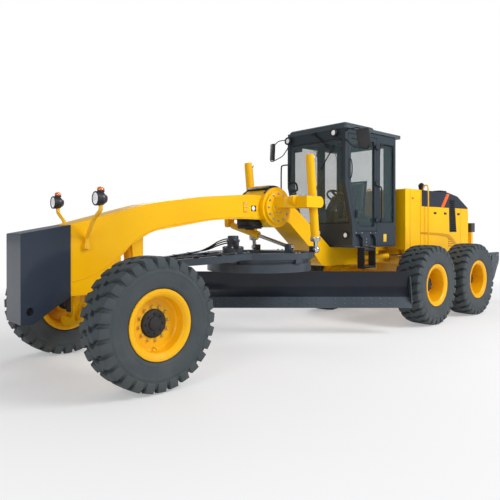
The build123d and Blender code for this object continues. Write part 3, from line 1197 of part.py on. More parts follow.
# ---- Ripper: two arms, a beam between cheek plates and its shanks, with its cylinder ----
beam_front, beam_rear = ripper_beam_distance - ripper_beam_half, ripper_beam_distance + ripper_beam_half
cheek_half = 15.0
shank_half = 30.0
with BuildPart() as ripper:
    for y in (-ripper_arm_y, ripper_arm_y):
        slab(side_rows([
            (ripper_pivot, ripper_pivot_height + 50), (ripper_beam_distance, ripper_beam_height + 90),
            (ripper_beam_distance, ripper_beam_height - 60), (ripper_pivot, ripper_pivot_height - 50),
        ]), y - 30, y + 30)
        rod((pivot_x, y - 30, ripper_pivot_height), (pivot_x, y + 30, ripper_pivot_height), 50)
    block((station(beam_rear), station(beam_front)), (-cheek_y, cheek_y),
          (ripper_beam_height - 90, ripper_beam_height + 90))
    for side in (-1, 1):
        low_y, high_y = span(side, cheek_y - cheek_half, cheek_y + cheek_half)
        slab(side_rows([
            (beam_front - 410, 1100, 20), (beam_rear + 10, 1100, 20), (beam_rear + 10, 920, 30),
            (beam_front - 50, 560, 60), (beam_front - 200, 430, 60), (beam_front - 340, 520, 60),
            (beam_front - 410, 900, 40),
        ]), low_y, high_y)
        slab(side_rows([
            (beam_front - 220, 930, 20), (beam_front - 220, 1050, 20), (beam_front - 170, 1050, 20),
            (beam_front - 170, 930, 20),
        ]), low_y - 1, high_y + 1, Mode.SUBTRACT)
    for y in (-600, 0, 600):
        slab(side_rows([
            (beam_rear - 5, ripper_beam_height + 160), (beam_rear + 70, ripper_beam_height + 160, 20),
            (shank_rear, ripper_beam_height - 250), (beam_rear - 30, ripper_beam_height - 560),
            (beam_rear + 10, ripper_beam_height - 300, 100), (beam_rear - 5, ripper_beam_height - 90, 60),
        ]), y - shank_half, y + shank_half)
    for side in (-1, 1):
        block((station(ripper_eye_distance + 60), station(ripper_eye_distance - 50)), span(side, 40, 64),
              (ripper_beam_height, ripper_eye_height + 50))
    block((station(beam_front + 1), station(ripper_eye_distance - 30)), (-60, 60),
          (ripper_beam_height - 60, ripper_beam_height + 60))
    for y in (-ripper_arm_y, ripper_arm_y):
        rod((pivot_x, y - 31, ripper_pivot_height), (pivot_x, y + 31, ripper_pivot_height),
            ripper_pin_radius + running_gap, Mode.SUBTRACT)
save(ripper.part, "ripper")

start = Vector(pivot_x, 0, ripper_cylinder_height)
end = Vector(station(ripper_eye_distance), 0, ripper_eye_height)
along = (end - start).normalized()
side_way = Vector(0, 1, 0)
with BuildPart() as ripper_barrel:
    rod(start + along * 40, start + along * 430, ripper_barrel_radius)
    rod(start - side_way * 50, start + side_way * 50, 46)
    rod(start - side_way * 51, start + side_way * 51, 24 + running_gap, Mode.SUBTRACT)
    rod(start + along * 60, start + along * 431, ripper_rod_radius + running_gap, Mode.SUBTRACT)
save(ripper_barrel.part, "ripper_barrel")
with BuildPart() as ripper_piston:
    rod(start + along * 75, end, ripper_rod_radius)
    rod(end - side_way * 32, end + side_way * 32, 46)
    rod(end - side_way * 33, end + side_way * 33, 24, Mode.SUBTRACT)
save(ripper_piston.part, "ripper_rod")
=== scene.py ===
"""Finishes and fittings of a motor grader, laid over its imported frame.

Metres, +X forward, +Y left, +Z up, with the ground at Z = 0. Places along the machine are
mostly metres behind the front axle, which at() turns into X. A fitting that both sides have
takes a side: 1 for the left and -1 for the right.
"""

import math

import bmesh
import bpy
from mathutils import Matrix, Vector


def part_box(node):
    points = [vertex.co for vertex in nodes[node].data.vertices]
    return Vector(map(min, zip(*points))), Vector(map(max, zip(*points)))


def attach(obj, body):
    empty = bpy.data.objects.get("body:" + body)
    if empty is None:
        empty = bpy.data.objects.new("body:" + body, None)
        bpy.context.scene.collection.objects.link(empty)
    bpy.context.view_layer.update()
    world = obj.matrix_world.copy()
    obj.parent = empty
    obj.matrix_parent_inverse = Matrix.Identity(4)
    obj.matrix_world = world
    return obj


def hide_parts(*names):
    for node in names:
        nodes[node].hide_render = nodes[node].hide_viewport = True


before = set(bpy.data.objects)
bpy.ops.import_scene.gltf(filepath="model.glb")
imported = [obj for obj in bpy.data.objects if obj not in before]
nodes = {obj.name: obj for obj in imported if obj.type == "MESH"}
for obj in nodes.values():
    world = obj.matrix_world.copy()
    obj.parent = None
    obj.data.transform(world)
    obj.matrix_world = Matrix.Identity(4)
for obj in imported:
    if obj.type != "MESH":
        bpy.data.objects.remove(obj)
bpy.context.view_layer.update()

FULL_TURN = 2 * math.pi
SIDES = (1, -1)
WHEELS = ["front_left", "front_right", "middle_left", "middle_right", "rear_left", "rear_right"]


# ---- Places
def wheel_centre(wheel):
    low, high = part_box(f"tyre_{wheel}")
    return (Vector(low) + Vector(high)) / 2


FRONT_AXLE = wheel_centre("front_left").x


def at(distance):
    """X of a point this many metres behind the front axle."""
    return FRONT_AXLE - distance


def facing(origin, outward, across=(1, 0, 0)):
    """A frame at a point whose Z axis points outward and whose X axis lies near across."""
    z = Vector(outward).normalized()
    y = z.cross(Vector(across)).normalized()
    x = y.cross(z)
    return Matrix.Translation(origin) @ Matrix((x, y, z)).transposed().to_4x4()


def sideways(side, distance, reach, height):
    """A frame this far out from the machine's middle whose Z axis points away from it."""
    return facing((at(distance), side * reach, height), (0, side, 0))


def ahead(x, y, z):
    """A frame at a point whose Z axis points forward."""
    return facing((x, y, z), (1, 0, 0), (0, 1, 0))


def upward(x, y, z):
    """A frame at a point whose Z axis points up."""
    return facing((x, y, z), (0, 0, 1))


def spun(angle, axis="Z"):
    return Matrix.Rotation(angle, 4, axis)


def in_plane(side, reach, rows):
    """Points this far out on one side, from rows of distance behind the axle and height."""
    return [(at(distance), side * reach, height) for distance, height in rows]


def arc(radius, start, end, steps):
    """Points round an arc between two angles in degrees."""
    angles = [math.radians(start + (end - start) * step / steps) for step in range(steps + 1)]
    return [(radius * math.cos(angle), radius * math.sin(angle)) for angle in angles]


def wheel_place(wheel):
    """A frame at a wheel's middle whose Z axis points outward."""
    centre = wheel_centre(wheel)
    return facing(centre, (0, 1 if centre.y > 0 else -1, 0))


# ---- Shader expressions
class Value:
    """A shader socket that can stand in a Python expression."""

    def __init__(self, finish, socket):
        self.finish = finish
        self.socket = socket

    def maths(self, operation, *terms):
        return self.finish.node("ShaderNodeMath", {"operation": operation}, terms)

    def __add__(self, other):
        return self.maths("ADD", self, other)

    def __sub__(self, other):
        return self.maths("SUBTRACT", self, other)

    def __rsub__(self, other):
        return self.maths("SUBTRACT", other, self)

    def __mul__(self, other):
        return self.maths("MULTIPLY", self, other)

    def __gt__(self, other):
        return self.maths("GREATER_THAN", self, other)

    def __lt__(self, other):
        return self.maths("LESS_THAN", self, other)

    __radd__ = __add__
    __rmul__ = __mul__

    def size(self):
        return self.maths("ABSOLUTE", self)

    def between(self, low, high):
        """1 where the value lies between two others, else 0."""
        return (self > low) * (self < high)

    def fade(self, low, high):
        """0 at low, 1 at high and beyond, and a straight run between."""
        return self.finish.node("ShaderNodeMapRange", {"clamp": True},
                                {"Value": self, "From Min": low, "From Max": high})


class Finish:
    """A procedural material, with short ways to add its nodes."""

    def __init__(self, name, shader):
        self.material = bpy.data.materials.new(name)
        self.material.use_nodes = True
        self.tree = self.material.node_tree
        self.shader = self.tree.nodes["Principled BSDF"]
        for label, value in shader.items():
            self.feed(self.shader.inputs[label], value)

    def feed(self, socket, value):
        """Links a value into a socket, or sets the socket to a number or colour."""
        if isinstance(value, Value):
            self.tree.links.new(value.socket, socket)
        elif socket.type == "RGBA":
            socket.default_value = (*value, 1.0)
        else:
            socket.default_value = value

    def node(self, kind, settings, inputs, output=0):
        """Adds a node: first its settings, then the values or links of its sockets."""
        made = self.tree.nodes.new(kind)
        for label, value in settings.items():
            setattr(made, label, value)
        for key, value in (inputs.items() if isinstance(inputs, dict) else enumerate(inputs)):
            self.feed(made.inputs[key], value)
        return Value(self, made.outputs[output])

    def place(self):
        return self.node("ShaderNodeTexCoord", {}, {}, "Object")

    def axis(self, number):
        """One coordinate of the surface point: 0 for X, 1 for Y, 2 for Z."""
        return self.node("ShaderNodeSeparateXYZ", {}, [self.place()], number)

    def noise(self, lump, detail=3.0, stretch=(1.0, 1.0, 1.0)):
        """Cloudy noise from 0 to 1 with lumps of this many metres."""
        place = self.node("ShaderNodeMapping", {}, {"Vector": self.place(), "Scale": stretch})
        return self.node("ShaderNodeTexNoise", {},
                         {"Vector": place, "Scale": 1 / lump, "Detail": detail})

    def mix(self, share, one, other):
        """One colour where share is 0 and the other where it is 1."""
        return self.node("ShaderNodeMix", {"data_type": "RGBA"}, {0: share, 6: one, 7: other}, 2)

    def relief(self, height, depth, rounding=0.0):
        """Bumps the surface by a height from 0 to 1, and softens its corners."""
        inputs = {"Height": height, "Distance": depth}
        if rounding:
            inputs["Normal"] = self.node("ShaderNodeBevel", {"samples": 4}, {"Radius": rounding})
        self.feed(self.shader.inputs["Normal"], self.node("ShaderNodeBump", {}, inputs))

    def colour(self, value):
        self.feed(self.shader.inputs["Base Color"], value)

    def roughness(self, value):
        self.feed(self.shader.inputs["Roughness"], value)

    def sprayed(self, extra, gloss, rounding=0.006):
        """Orange-peel of sprayed paint, roughened by an extra that varies over the piece."""
        self.roughness(extra + self.noise(0.05, 5.0) * 0.12 + gloss)
        self.relief(self.noise(0.004, 2.0), 0.0004, rounding)


def linear(red, green, blue):
    """A colour from its usual 0-255 numbers."""
    parts = [part / 255 for part in (red, green, blue)]
    return tuple(p / 12.92 if p < 0.04045 else ((p + 0.055) / 1.055) ** 2.4 for p in parts)


def shade(colour, share):
    """A colour made darker, or lighter where the share is over 1."""
    return tuple(part * share for part in colour)


# ---- Finishes
YELLOW = linear(252, 194, 0)
DEEP_YELLOW = linear(244, 182, 0)
SLATE = linear(54, 63, 74)
DUST = linear(146, 138, 122)
WHITE = (1.0, 1.0, 1.0)


def with_dust(finish, base, amount, high=1.3):
    """Lays road dust over a colour, thickest at the ground and gone at a height."""
    thin = 1 - finish.axis(2).fade(0.0, high)
    film = thin * finish.noise(0.22, 6.0).fade(0.35, 0.75) * amount
    return finish.mix(film, base, DUST), film


def paint(name, colour, deeper, gloss, coat, dust, rounding):
    """Sprayed paint: gently uneven colour, orange-peel, a little dust low down."""
    finish = Finish(name, {"Coat Weight": coat, "Coat Roughness": 0.12, "Specular IOR Level": 0.2})
    cloud = finish.noise(0.9, 4.0).fade(0.3, 0.7)
    dusty, film = with_dust(finish, finish.mix(cloud, colour, deeper), dust)
    finish.colour(dusty)
    finish.sprayed(film * 0.5, gloss, rounding)
    return finish


def bare_steel(name, colour, scratch, rough, rust=0.0):
    """Metal with a grain of scratches along one axis."""
    finish = Finish(name, {"Metallic": 1.0})
    grain = finish.noise(0.02, 6.0, scratch)
    base = finish.mix(grain.fade(0.3, 0.7), colour, shade(colour, 0.55))
    if rust:
        spots = finish.noise(0.05, 8.0).fade(0.55, 0.7) * rust
        base = finish.mix(spots, base, linear(96, 66, 44))
        finish.feed(finish.shader.inputs["Metallic"], 1 - spots)
    finish.colour(base)
    finish.roughness(grain * 0.25 + rough)
    finish.relief(grain, 0.0006, 0.003)
    return finish


def rubber(name, colour, dust, bump=0.0008):
    """Tyre and seal rubber: matt, a little grey where dust clings."""
    finish = Finish(name, {"Specular IOR Level": 0.35})
    base = finish.mix(finish.noise(0.15), colour, shade(colour, 0.7))
    finish.colour(with_dust(finish, base, dust, 1.4)[0])
    finish.roughness(finish.noise(0.03) * 0.2 + 0.62)
    finish.relief(finish.noise(0.008, 6.0), bump)
    return finish


def plastic(name, colour, rough=0.5, grain=0.003):
    """Moulded plastic with a fine grain."""
    finish = Finish(name, {})
    finish.colour(finish.mix(finish.noise(0.3), colour, shade(colour, 0.8)))
    finish.roughness(finish.noise(0.02) * 0.12 + rough)
    grains = finish.node("ShaderNodeTexVoronoi", {}, {"Vector": finish.place(), "Scale": 1 / grain})
    finish.relief(grains, 0.0003, 0.003)
    return finish


def glass(name, tint, alpha):
    """Tinted cab glass: mostly clear, with a sheen."""
    finish = Finish(name, {"Metallic": 0.0, "IOR": 1.5, "Coat Weight": 1.0, "Coat Roughness": 0.02})
    smear = finish.noise(0.4, 5.0)
    finish.colour(finish.mix(smear, tint, shade(tint, 0.8)))
    finish.feed(finish.shader.inputs["Alpha"], smear * 0.08 + alpha)
    finish.roughness(smear * 0.06 + 0.03)
    return finish


def lens(name, colour, glow=0.0):
    """A lamp's ribbed lens."""
    finish = Finish(name, {"Coat Weight": 1.0, "Coat Roughness": 0.05, "Emission Strength": glow})
    ribs = finish.node("ShaderNodeTexWave", {}, {"Vector": finish.place(), "Scale": 22.0})
    finish.colour(finish.mix(ribs, colour, shade(colour, 0.75)))
    if glow:
        finish.feed(finish.shader.inputs["Emission Color"], finish.mix(ribs, colour, colour))
    finish.roughness(ribs * 0.1 + 0.12)
    finish.relief(ribs, 0.001)
    return finish


def woven(name, colour):
    """Seat cloth: a fine weave with a soft sheen."""
    finish = Finish(name, {"Sheen Weight": 0.4, "Roughness": 0.9})
    across, along = [finish.node("ShaderNodeTexWave", {"bands_direction": axis},
                                 {"Vector": finish.place(), "Scale": 90.0}) for axis in "XZ"]
    weave = across * along
    finish.colour(finish.mix(weave * 0.5 + finish.noise(0.1) * 0.5, colour, shade(colour, 2.2)))
    finish.relief(weave, 0.0008)
    return finish


PAINTS = {
    # name: colour, deeper colour, gloss, coat, dust, rounding of the corners
    "yellow_paint": ((252, 194, 0), (244, 182, 0), 0.34, 0.15, 0.08, 0.006),
    "rim_paint": ((246, 184, 6), (234, 168, 2), 0.36, 0.15, 0.06, 0.006),
    "wheel_bolt_paint": ((214, 176, 52), (176, 150, 60), 0.4, 0.2, 0.3, 0.006),
    # darker orange for the strips on the hood's crease and vent: painted shade of the recessed crease and
    # the vent
    "crease_painted_shade": ((214, 152, 4), (204, 142, 2), 0.4, 0.2, 0.08, 0.006),
    "blank_plate": ((236, 196, 60), (226, 190, 70), 0.3, 0.2, 0.0, 0.0),
    "nose_paint": ((46, 56, 70), (41, 50, 63), 0.36, 0.35, 0.05, 0.006),
    "cab_paint": ((50, 59, 67), (43, 52, 60), 0.4, 0.25, 0.06, 0.006),
    "roof_paint": ((74, 84, 90), (66, 76, 82), 0.45, 0.15, 0.0, 0.006),
    "blade_paint": ((24, 32, 44), (18, 25, 36), 0.30, 0.35, 0.03, 0.006),
    "edge_paint": ((74, 84, 94), (58, 67, 76), 0.32, 0.3, 0.08, 0.006),
    "circle_paint": ((66, 75, 84), (54, 62, 70), 0.40, 0.25, 0.15, 0.006),
    "black_steel": ((36, 38, 42), (25, 27, 30), 0.45, 0.1, 0.2, 0.006),
}
(yellow, rim_yellow, wheel_bolt, crease_painted_shade, plate_yellow, nose_paint, cab_paint, roof_paint, blade_paint,
 edge_paint, circle_paint, black) = [paint(name, linear(*colour), linear(*deeper), *rest)
                                     for name, (colour, deeper, *rest) in PAINTS.items()]
slate = paint("slate_paint", SLATE, shade(SLATE, 0.85), 0.36, 0.3, 0.08, 0.006)
chrome = bare_steel("chrome_rod", linear(214, 216, 220), (1, 1, 1), 0.06)
worn = bare_steel("worn_steel", linear(158, 160, 164), (1, 8, 1), 0.3, rust=0.25)
edge_steel = bare_steel("edge_steel", linear(112, 118, 124), (1, 1, 1), 0.4)
bright = bare_steel("bright_fittings", linear(205, 207, 210), (4, 1, 1), 0.22)
iron = bare_steel("engine_iron", linear(92, 92, 94), (1, 1, 1), 0.5, rust=0.2)
tyre_rubber = rubber("tyre_rubber", linear(70, 78, 82), 0.12)
hose_rubber = rubber("hose_rubber", linear(34, 35, 37), 0.1, 0.0004)
black_plastic = plastic("black_plastic", linear(36, 37, 40))
cab_pane = glass("cab_glass", linear(84, 108, 110), 0.17)
mirror_glass = bare_steel("mirror_glass", linear(200, 206, 210), (1, 1, 1), 0.02)
white_lens = lens("white_lens", linear(236, 238, 240), 0.25)
orange_lens = lens("orange_lens", linear(240, 120, 20))
red_lens = lens("red_lens", linear(170, 16, 12))
seat_cloth = woven("seat_cloth", linear(44, 46, 50))


def hood_finish():
    """The hood's yellow with a dark band below its top and a slanting orange slash through the band."""
    finish = Finish("hood_paint", {"Coat Weight": 0.15, "Coat Roughness": 0.12, "Specular IOR Level": 0.2})
    behind = FRONT_AXLE - finish.axis(0)
    height = finish.axis(2)
    on_side = finish.axis(1).size() > 0.5955
    base = finish.mix(finish.noise(0.9, 4.0).fade(0.3, 0.7), YELLOW, DEEP_YELLOW)
    band = on_side * (height > 2.02) * behind.between(6.10, 7.975)
    base = finish.mix(band, base, linear(40, 46, 58))
    leaning = behind - (height - 2.03) * 0.846
    slash = on_side * height.between(2.03, 2.292) * leaning.between(6.842, 6.966)
    dusty, film = with_dust(finish, finish.mix(slash, base, linear(240, 98, 34)), 0.16)
    finish.colour(dusty)
    finish.sprayed(film * 0.5, 0.32)
    return finish


def headlamp_finish():
    """Yellow posts and dark lamp housings."""
    finish = Finish("headlamp_paint", {"Coat Weight": 0.4, "Coat Roughness": 0.15})
    housing = finish.axis(2) > 1.8425
    base = finish.mix(finish.noise(0.3), YELLOW, DEEP_YELLOW)
    finish.colour(finish.mix(housing, base, linear(38, 40, 44)))
    finish.sprayed(housing * 0.15, 0.32, 0.004)
    return finish


def rear_frame_finish():
    """Yellow frame with dark boxes round the tail lamps."""
    finish = Finish("rear_frame_paint", {"Coat Weight": 0.4, "Coat Roughness": 0.15})
    boxes = (finish.axis(2) > 1.534) * (finish.axis(0) < at(8.104))
    dusty, film = with_dust(finish, finish.mix(finish.noise(0.9, 4.0), YELLOW, DEEP_YELLOW), 0.16)
    finish.colour(finish.mix(boxes, dusty, linear(40, 42, 46)))
    finish.sprayed(film * 0.5, 0.32)
    return finish


hood_paint = hood_finish()
rear_frame_paint = rear_frame_finish()
headlamp_paint = headlamp_finish()
SLOTS = {
    "yellow_paint": [yellow, wheel_bolt, crease_painted_shade, plate_yellow],
    "black_steel": [black],
    "chrome_rod": [bright],
    "worn_steel": [worn, edge_steel],
    "tyre_rubber": [tyre_rubber],
    "black_plastic": [black_plastic, hose_rubber],
    "clear_glass": [mirror_glass, white_lens, orange_lens, red_lens],
    "seat_fabric": [seat_cloth],
}
for slot, finishes in SLOTS.items():
    for finish in finishes:
        finish.slot = slot

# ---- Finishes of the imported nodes
DRESS = [
    # finish, the nodes that wear it
    (yellow, ["main_frame", "front_axle", "saddle", "lean_yoke_left", "lean_yoke_right", "lean_bar",
              "lift_barrel_left", "lift_barrel_right", "centre_shift_barrel",
              "tandem_cases", "articulation_barrel_left", "articulation_barrel_right"]),
    (rim_yellow, [f"rim_{wheel}" for wheel in WHEELS]),
    (hood_paint, ["hood"]),
    (rear_frame_paint, ["rear_frame"]),
    (headlamp_paint, ["headlamps"]),
    (nose_paint, ["nose_plate"]),
    (slate, ["ripper", "ripper_barrel"]),
    (cab_paint, ["cab_shell", "door_left", "door_right"]),
    (roof_paint, ["cab_roof"]),
    (circle_paint, ["drawbar", "circle"]),
    (black, ["blade_bracket", "cab_steps", "spindle_left", "spindle_right", "tie_rod", "tie_rod_end",
             "exhaust"]),
    (blade_paint, ["moldboard"]),
    (edge_paint, ["cutting_edge"]),
    (chrome, ["lift_rod_left", "lift_rod_right", "centre_shift_rod", "articulation_rod_left",
              "articulation_rod_right", "ripper_rod"]),
    (iron, ["engine_block"]),
    (black_plastic, ["mirrors", "control_console", "hood_grilles"]),
    (cab_pane, ["cab_glass", "door_glass_left", "door_glass_right"]),
    (seat_cloth, ["seat"]),
    (tyre_rubber, [f"tyre_{wheel}" for wheel in WHEELS]),
]
for finish, names in DRESS:
    for name in names:
        nodes[name].data.materials.clear()
        nodes[name].data.materials.append(finish.material)


# ---- Shapes
def placed(name, data):
    """An object of some data, in the scene."""
    made = bpy.data.objects.new(name, data)
    bpy.context.scene.collection.objects.link(made)
    return made


class Shape:
    """A mesh under construction, in metres and in the machine's own frame."""

    def __init__(self):
        self.mesh = bmesh.new()

    def fresh(self, before):
        """The vertices added since a set of them was taken."""
        return [vert for vert in self.mesh.verts if vert not in before]

    def move(self, matrix, verts):
        bmesh.ops.transform(self.mesh, matrix=matrix, verts=verts)

    def round(self, verts, width, segments=2):
        """Bevels the sharp edges between some vertices."""
        chosen = set(verts)
        edges = [edge for edge in {e for v in verts for e in v.link_edges}
                 if edge.verts[0] in chosen and edge.verts[1] in chosen
                 and len(edge.link_faces) == 2 and edge.calc_face_angle(0.0) > math.radians(30)]
        bmesh.ops.bevel(self.mesh, geom=edges, offset=width, segments=segments, profile=0.5,
                        affect="EDGES", material=-1, clamp_overlap=True)

    def box(self, low, high, edge=0.0, place=Matrix()):
        """A block between two corners, in a local frame, with rounded edges."""
        low, high = Vector(low), Vector(high)
        before = set(self.mesh.verts)
        verts = bmesh.ops.create_cube(self.mesh, size=1.0)["verts"]
        self.move(Matrix.LocRotScale((low + high) / 2, None, high - low), verts)
        if edge:
            self.round(verts, edge)
        self.move(place, self.fresh(before))

    def slab(self, side, along, across, heights, edge=0.0):
        """A block on one side, between two distances behind the axle, two out and two heights."""
        low, high = sorted(side * reach for reach in across)
        self.box((at(along[0]), low, heights[0]), (at(along[1]), high, heights[1]), edge)

    def bar(self, start, end, radius, sides=16, tip=None, edge=0.0):
        """A round bar, or a cone, from one point to another."""
        start, end = Vector(start), Vector(end)
        along = end - start
        before = set(self.mesh.verts)
        verts = bmesh.ops.create_cone(self.mesh, cap_ends=True, segments=sides, radius1=radius,
                                      radius2=radius if tip is None else tip, depth=along.length)["verts"]
        if edge:
            self.round(verts, edge)
        self.move(Matrix.LocRotScale((start + end) / 2, along.to_track_quat("Z", "Y"), None),
                  self.fresh(before))

    def ball(self, centre, radius):
        bmesh.ops.create_uvsphere(self.mesh, u_segments=20, v_segments=12, radius=radius,
                                  matrix=Matrix.Translation(centre))

    def lathe(self, rows, place=Matrix(), steps=48):
        """Spins rows of (distance along the axis, radius) about a frame's Z axis."""
        before = set(self.mesh.verts)
        verts = [self.mesh.verts.new((radius, 0, along)) for along, radius in rows]
        edges = [self.mesh.edges.new(pair) for pair in zip(verts, verts[1:])]
        bmesh.ops.spin(self.mesh, geom=verts + edges, axis=(0, 0, 1), cent=(0, 0, 0),
                       angle=FULL_TURN, steps=steps, use_merge=True)
        self.move(place, self.fresh(before))

    def panel(self, outline, thickness, place=Matrix(), edge=0.0):
        """A flat plate from an outline in a frame's XY plane, as thick along its Z."""
        before = set(self.mesh.verts)
        verts = [self.mesh.verts.new((x, y, 0)) for x, y in outline]
        face = self.mesh.faces.new(verts)
        grown = bmesh.ops.extrude_face_region(self.mesh, geom=[face])["geom"]
        top = [item for item in grown if isinstance(item, bmesh.types.BMVert)]
        bmesh.ops.translate(self.mesh, vec=(0, 0, thickness), verts=top)
        if edge:
            self.round(verts + top, edge)
        self.move(place, self.fresh(before))

    def tube(self, points, radius, sides=10, smooth=3):
        """A bent tube that eases round its inner points, or bends sharply where smooth is 2."""
        data = bpy.data.curves.new("tube", "CURVE")
        data.dimensions = "3D"
        data.bevel_depth = radius
        data.bevel_resolution = max(1, sides // 4)
        data.use_fill_caps = True
        spline = data.splines.new("NURBS")
        spline.points.add(len(points) - 1)
        for point, spot in zip(spline.points, points):
            point.co = (*spot, 1.0)
        spline.order_u = smooth
        spline.use_endpoint_u = True
        spline.resolution_u = 5
        holder = bpy.data.objects.new("tube", data)
        made = bpy.data.meshes.new_from_object(holder)
        self.mesh.from_mesh(made)
        bpy.data.objects.remove(holder)
        bpy.data.curves.remove(data)
        bpy.data.meshes.remove(made)

    def bolt(self, place, size):
        """A hexagon bolt head on its washer, standing on a frame's XY plane."""
        before = set(self.mesh.verts)
        # sides, radius at the foot and at the top, thickness and middle, as shares of the size
        for sides, foot, top, depth, middle in ((12, 0.72, 0.72, 0.16, 0.08), (6, 0.5, 0.46, 0.5, 0.4)):
            bmesh.ops.create_cone(self.mesh, cap_ends=True, segments=sides, radius1=size * foot,
                                  radius2=size * top, depth=size * depth,
                                  matrix=Matrix.Translation((0, 0, size * middle)))
        self.move(place, self.fresh(before))

    def side_bolts(self, side, reach, rows, size):
        """Bolts on one side, from rows of distance behind the axle and height."""
        for distance, height in rows:
            self.bolt(sideways(side, distance, reach, height), size)

    def ring(self, place, count, radius, size, lift=0.0, start=0.0):
        """Bolts round a circle in a frame's XY plane."""
        for index in range(count):
            angle = start + FULL_TURN * index / count
            spot = Matrix.Translation((radius * math.cos(angle), radius * math.sin(angle), lift))
            self.bolt(place @ spot @ spun(angle), size)

    def done(self, name, finish, body="front_frame", crease=35.0):
        """Closes the mesh and hangs it on a body as a finished piece."""
        bmesh.ops.remove_doubles(self.mesh, verts=self.mesh.verts, dist=1e-5)
        bmesh.ops.recalc_face_normals(self.mesh, faces=self.mesh.faces)
        data = bpy.data.meshes.new(name)
        self.mesh.to_mesh(data)
        self.mesh.free()
        data.shade_smooth()
        data.set_sharp_from_angle(angle=math.radians(crease))
        data.materials.append(finish.material)
        piece = placed(name, data)
        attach(piece, body)
        return piece


# ---- Tyres
LUGS = 28                       # on each side of the tread
LUG_RADIUS = 0.6645             # no lug reaches further out
TREAD_ROWS = [
    # distance out from the tyre's middle, radius over the lugs, radius in the grooves, drift round the tyre
    (-0.012, 0.664, 0.628, 0.000),
    (0.035, 0.664, 0.628, 0.016),
    (0.072, 0.6635, 0.628, 0.022),
    (0.108, 0.6625, 0.627, -0.010),
    (0.140, 0.6605, 0.624, -0.028),
    (0.180, 0.656, 0.618, -0.031),
    (0.207, 0.647, 0.604, -0.032),
    (0.218, 0.620, 0.585, -0.033),
    (0.2215, 0.585, 0.560, -0.034),
    (0.2215, 0.556, 0.540, -0.034),
]


def on_rows(rows, t):
    """A row in between, for t from 0 to 1 along the table."""
    spot = min(max(t, 0.0), 1.0) * (len(rows) - 1)
    index = min(int(spot), len(rows) - 2)
    share = spot - index
    return [a + (b - a) * share for a, b in zip(rows[index], rows[index + 1])]


def tread_lug(shape, side, start_angle):
    """One lug: a strip that zigzags from the tread's middle down to the shoulder."""
    before = set(shape.mesh.verts)
    grid = bmesh.ops.create_grid(shape.mesh, x_segments=2, y_segments=18, size=0.5)["verts"]
    faces = list({face for vert in grid for face in vert.link_faces})
    grown = bmesh.ops.extrude_face_region(shape.mesh, geom=faces)["geom"]
    top = {item for item in grown if isinstance(item, bmesh.types.BMVert)}
    verts = shape.fresh(before)
    pitch = FULL_TURN / LUGS
    for vert in verts:
        out, over, under, drift = on_rows(TREAD_ROWS, vert.co.y + 0.5)
        upper = vert in top
        share = 0.315 if upper else 0.375
        if vert.co.y + 0.5 > 0.75:
            share += 0.02
        radius = over if upper else under
        wide = vert.co.x * 2 * share * pitch
        angle = start_angle + side * (wide + drift / 0.65)
        reach = out if upper or out < 0.2 else out - 0.014
        vert.co = (radius * math.cos(angle), radius * math.sin(angle), side * reach)
    if side < 0:
        bmesh.ops.reverse_faces(shape.mesh, faces=list({f for v in verts for f in v.link_faces}))
    rim = [edge for edge in {e for v in top for e in v.link_edges}
           if edge.verts[0] in top and edge.verts[1] in top and edge.calc_face_angle(0.0) > 0.6]
    bmesh.ops.bevel(shape.mesh, geom=rim, offset=0.004, segments=1, profile=0.5, affect="EDGES",
                    material=-1, clamp_overlap=True)


CARCASS_ROWS = [
    # distance out from the tyre's middle, radius
    (0.186, 0.324), (0.1865, 0.356), (0.1975, 0.364), (0.2045, 0.372), (0.2095, 0.390),
    (0.212, 0.396), (0.2105, 0.400), (0.216, 0.425), (0.2195, 0.455), (0.2205, 0.485),
    (0.220, 0.515), (0.2215, 0.519), (0.220, 0.523), (0.215, 0.555), (0.206, 0.585),
    (0.195, 0.606), (0.180, 0.618), (0.140, 0.624), (0.070, 0.628), (0.0, 0.6285),
]


def tyre(wheel):
    shape = Shape()
    inner = [(-out, radius) for out, radius in CARCASS_ROWS[-2::-1]]
    shape.lathe(CARCASS_ROWS + inner + [CARCASS_ROWS[0]], steps=112)
    pitch = FULL_TURN / LUGS
    for side in (1, -1):
        before = set(shape.mesh.verts)
        tread_lug(shape, side, 0.25 * pitch * side)
        lug = shape.fresh(before)
        faces = list({face for vert in lug for face in vert.link_faces})
        edges = list({edge for vert in lug for edge in vert.link_edges})
        bmesh.ops.spin(shape.mesh, geom=lug + edges + faces, axis=(0, 0, 1), cent=(0, 0, 0),
                       angle=pitch * (LUGS - 1), steps=LUGS - 1, use_duplicate=True)
    for vert in shape.mesh.verts:
        reach = math.hypot(vert.co.x, vert.co.y)
        if reach > LUG_RADIUS:
            vert.co.x, vert.co.y = vert.co.x * LUG_RADIUS / reach, vert.co.y * LUG_RADIUS / reach
    shape.move(wheel_place(wheel), shape.mesh.verts)
    piece = shape.done(f"tread_{wheel}", tyre_rubber, f"wheel_{wheel}", 28.0)
    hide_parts(f"tyre_{wheel}")


for wheel in WHEELS:
    tyre(wheel)

# ---- Wheels: hubs, bolts and valves
WHEEL_FITTINGS = {
    # rows of the hub as distance out from the wheel's middle and radius; seat of the hub's
    # bolts; rim's face, and the radius of the bolts on it
    "front": ([(0.056, 0.144), (0.058, 0.144), (0.0755, 0.1325), (0.080, 0.124), (0.080, 0.068),
               (0.092, 0.064), (0.095, 0.058), (0.095, 0.0)], 0.080, 0.056, 0.167),
    "rear": ([(-0.078, 0.150), (-0.056, 0.150), (-0.042, 0.140), (-0.034, 0.128), (0.030, 0.120),
              (0.040, 0.110), (0.040, 0.064), (0.052, 0.058), (0.052, 0.0)], 0.040, -0.078, 0.196),
}


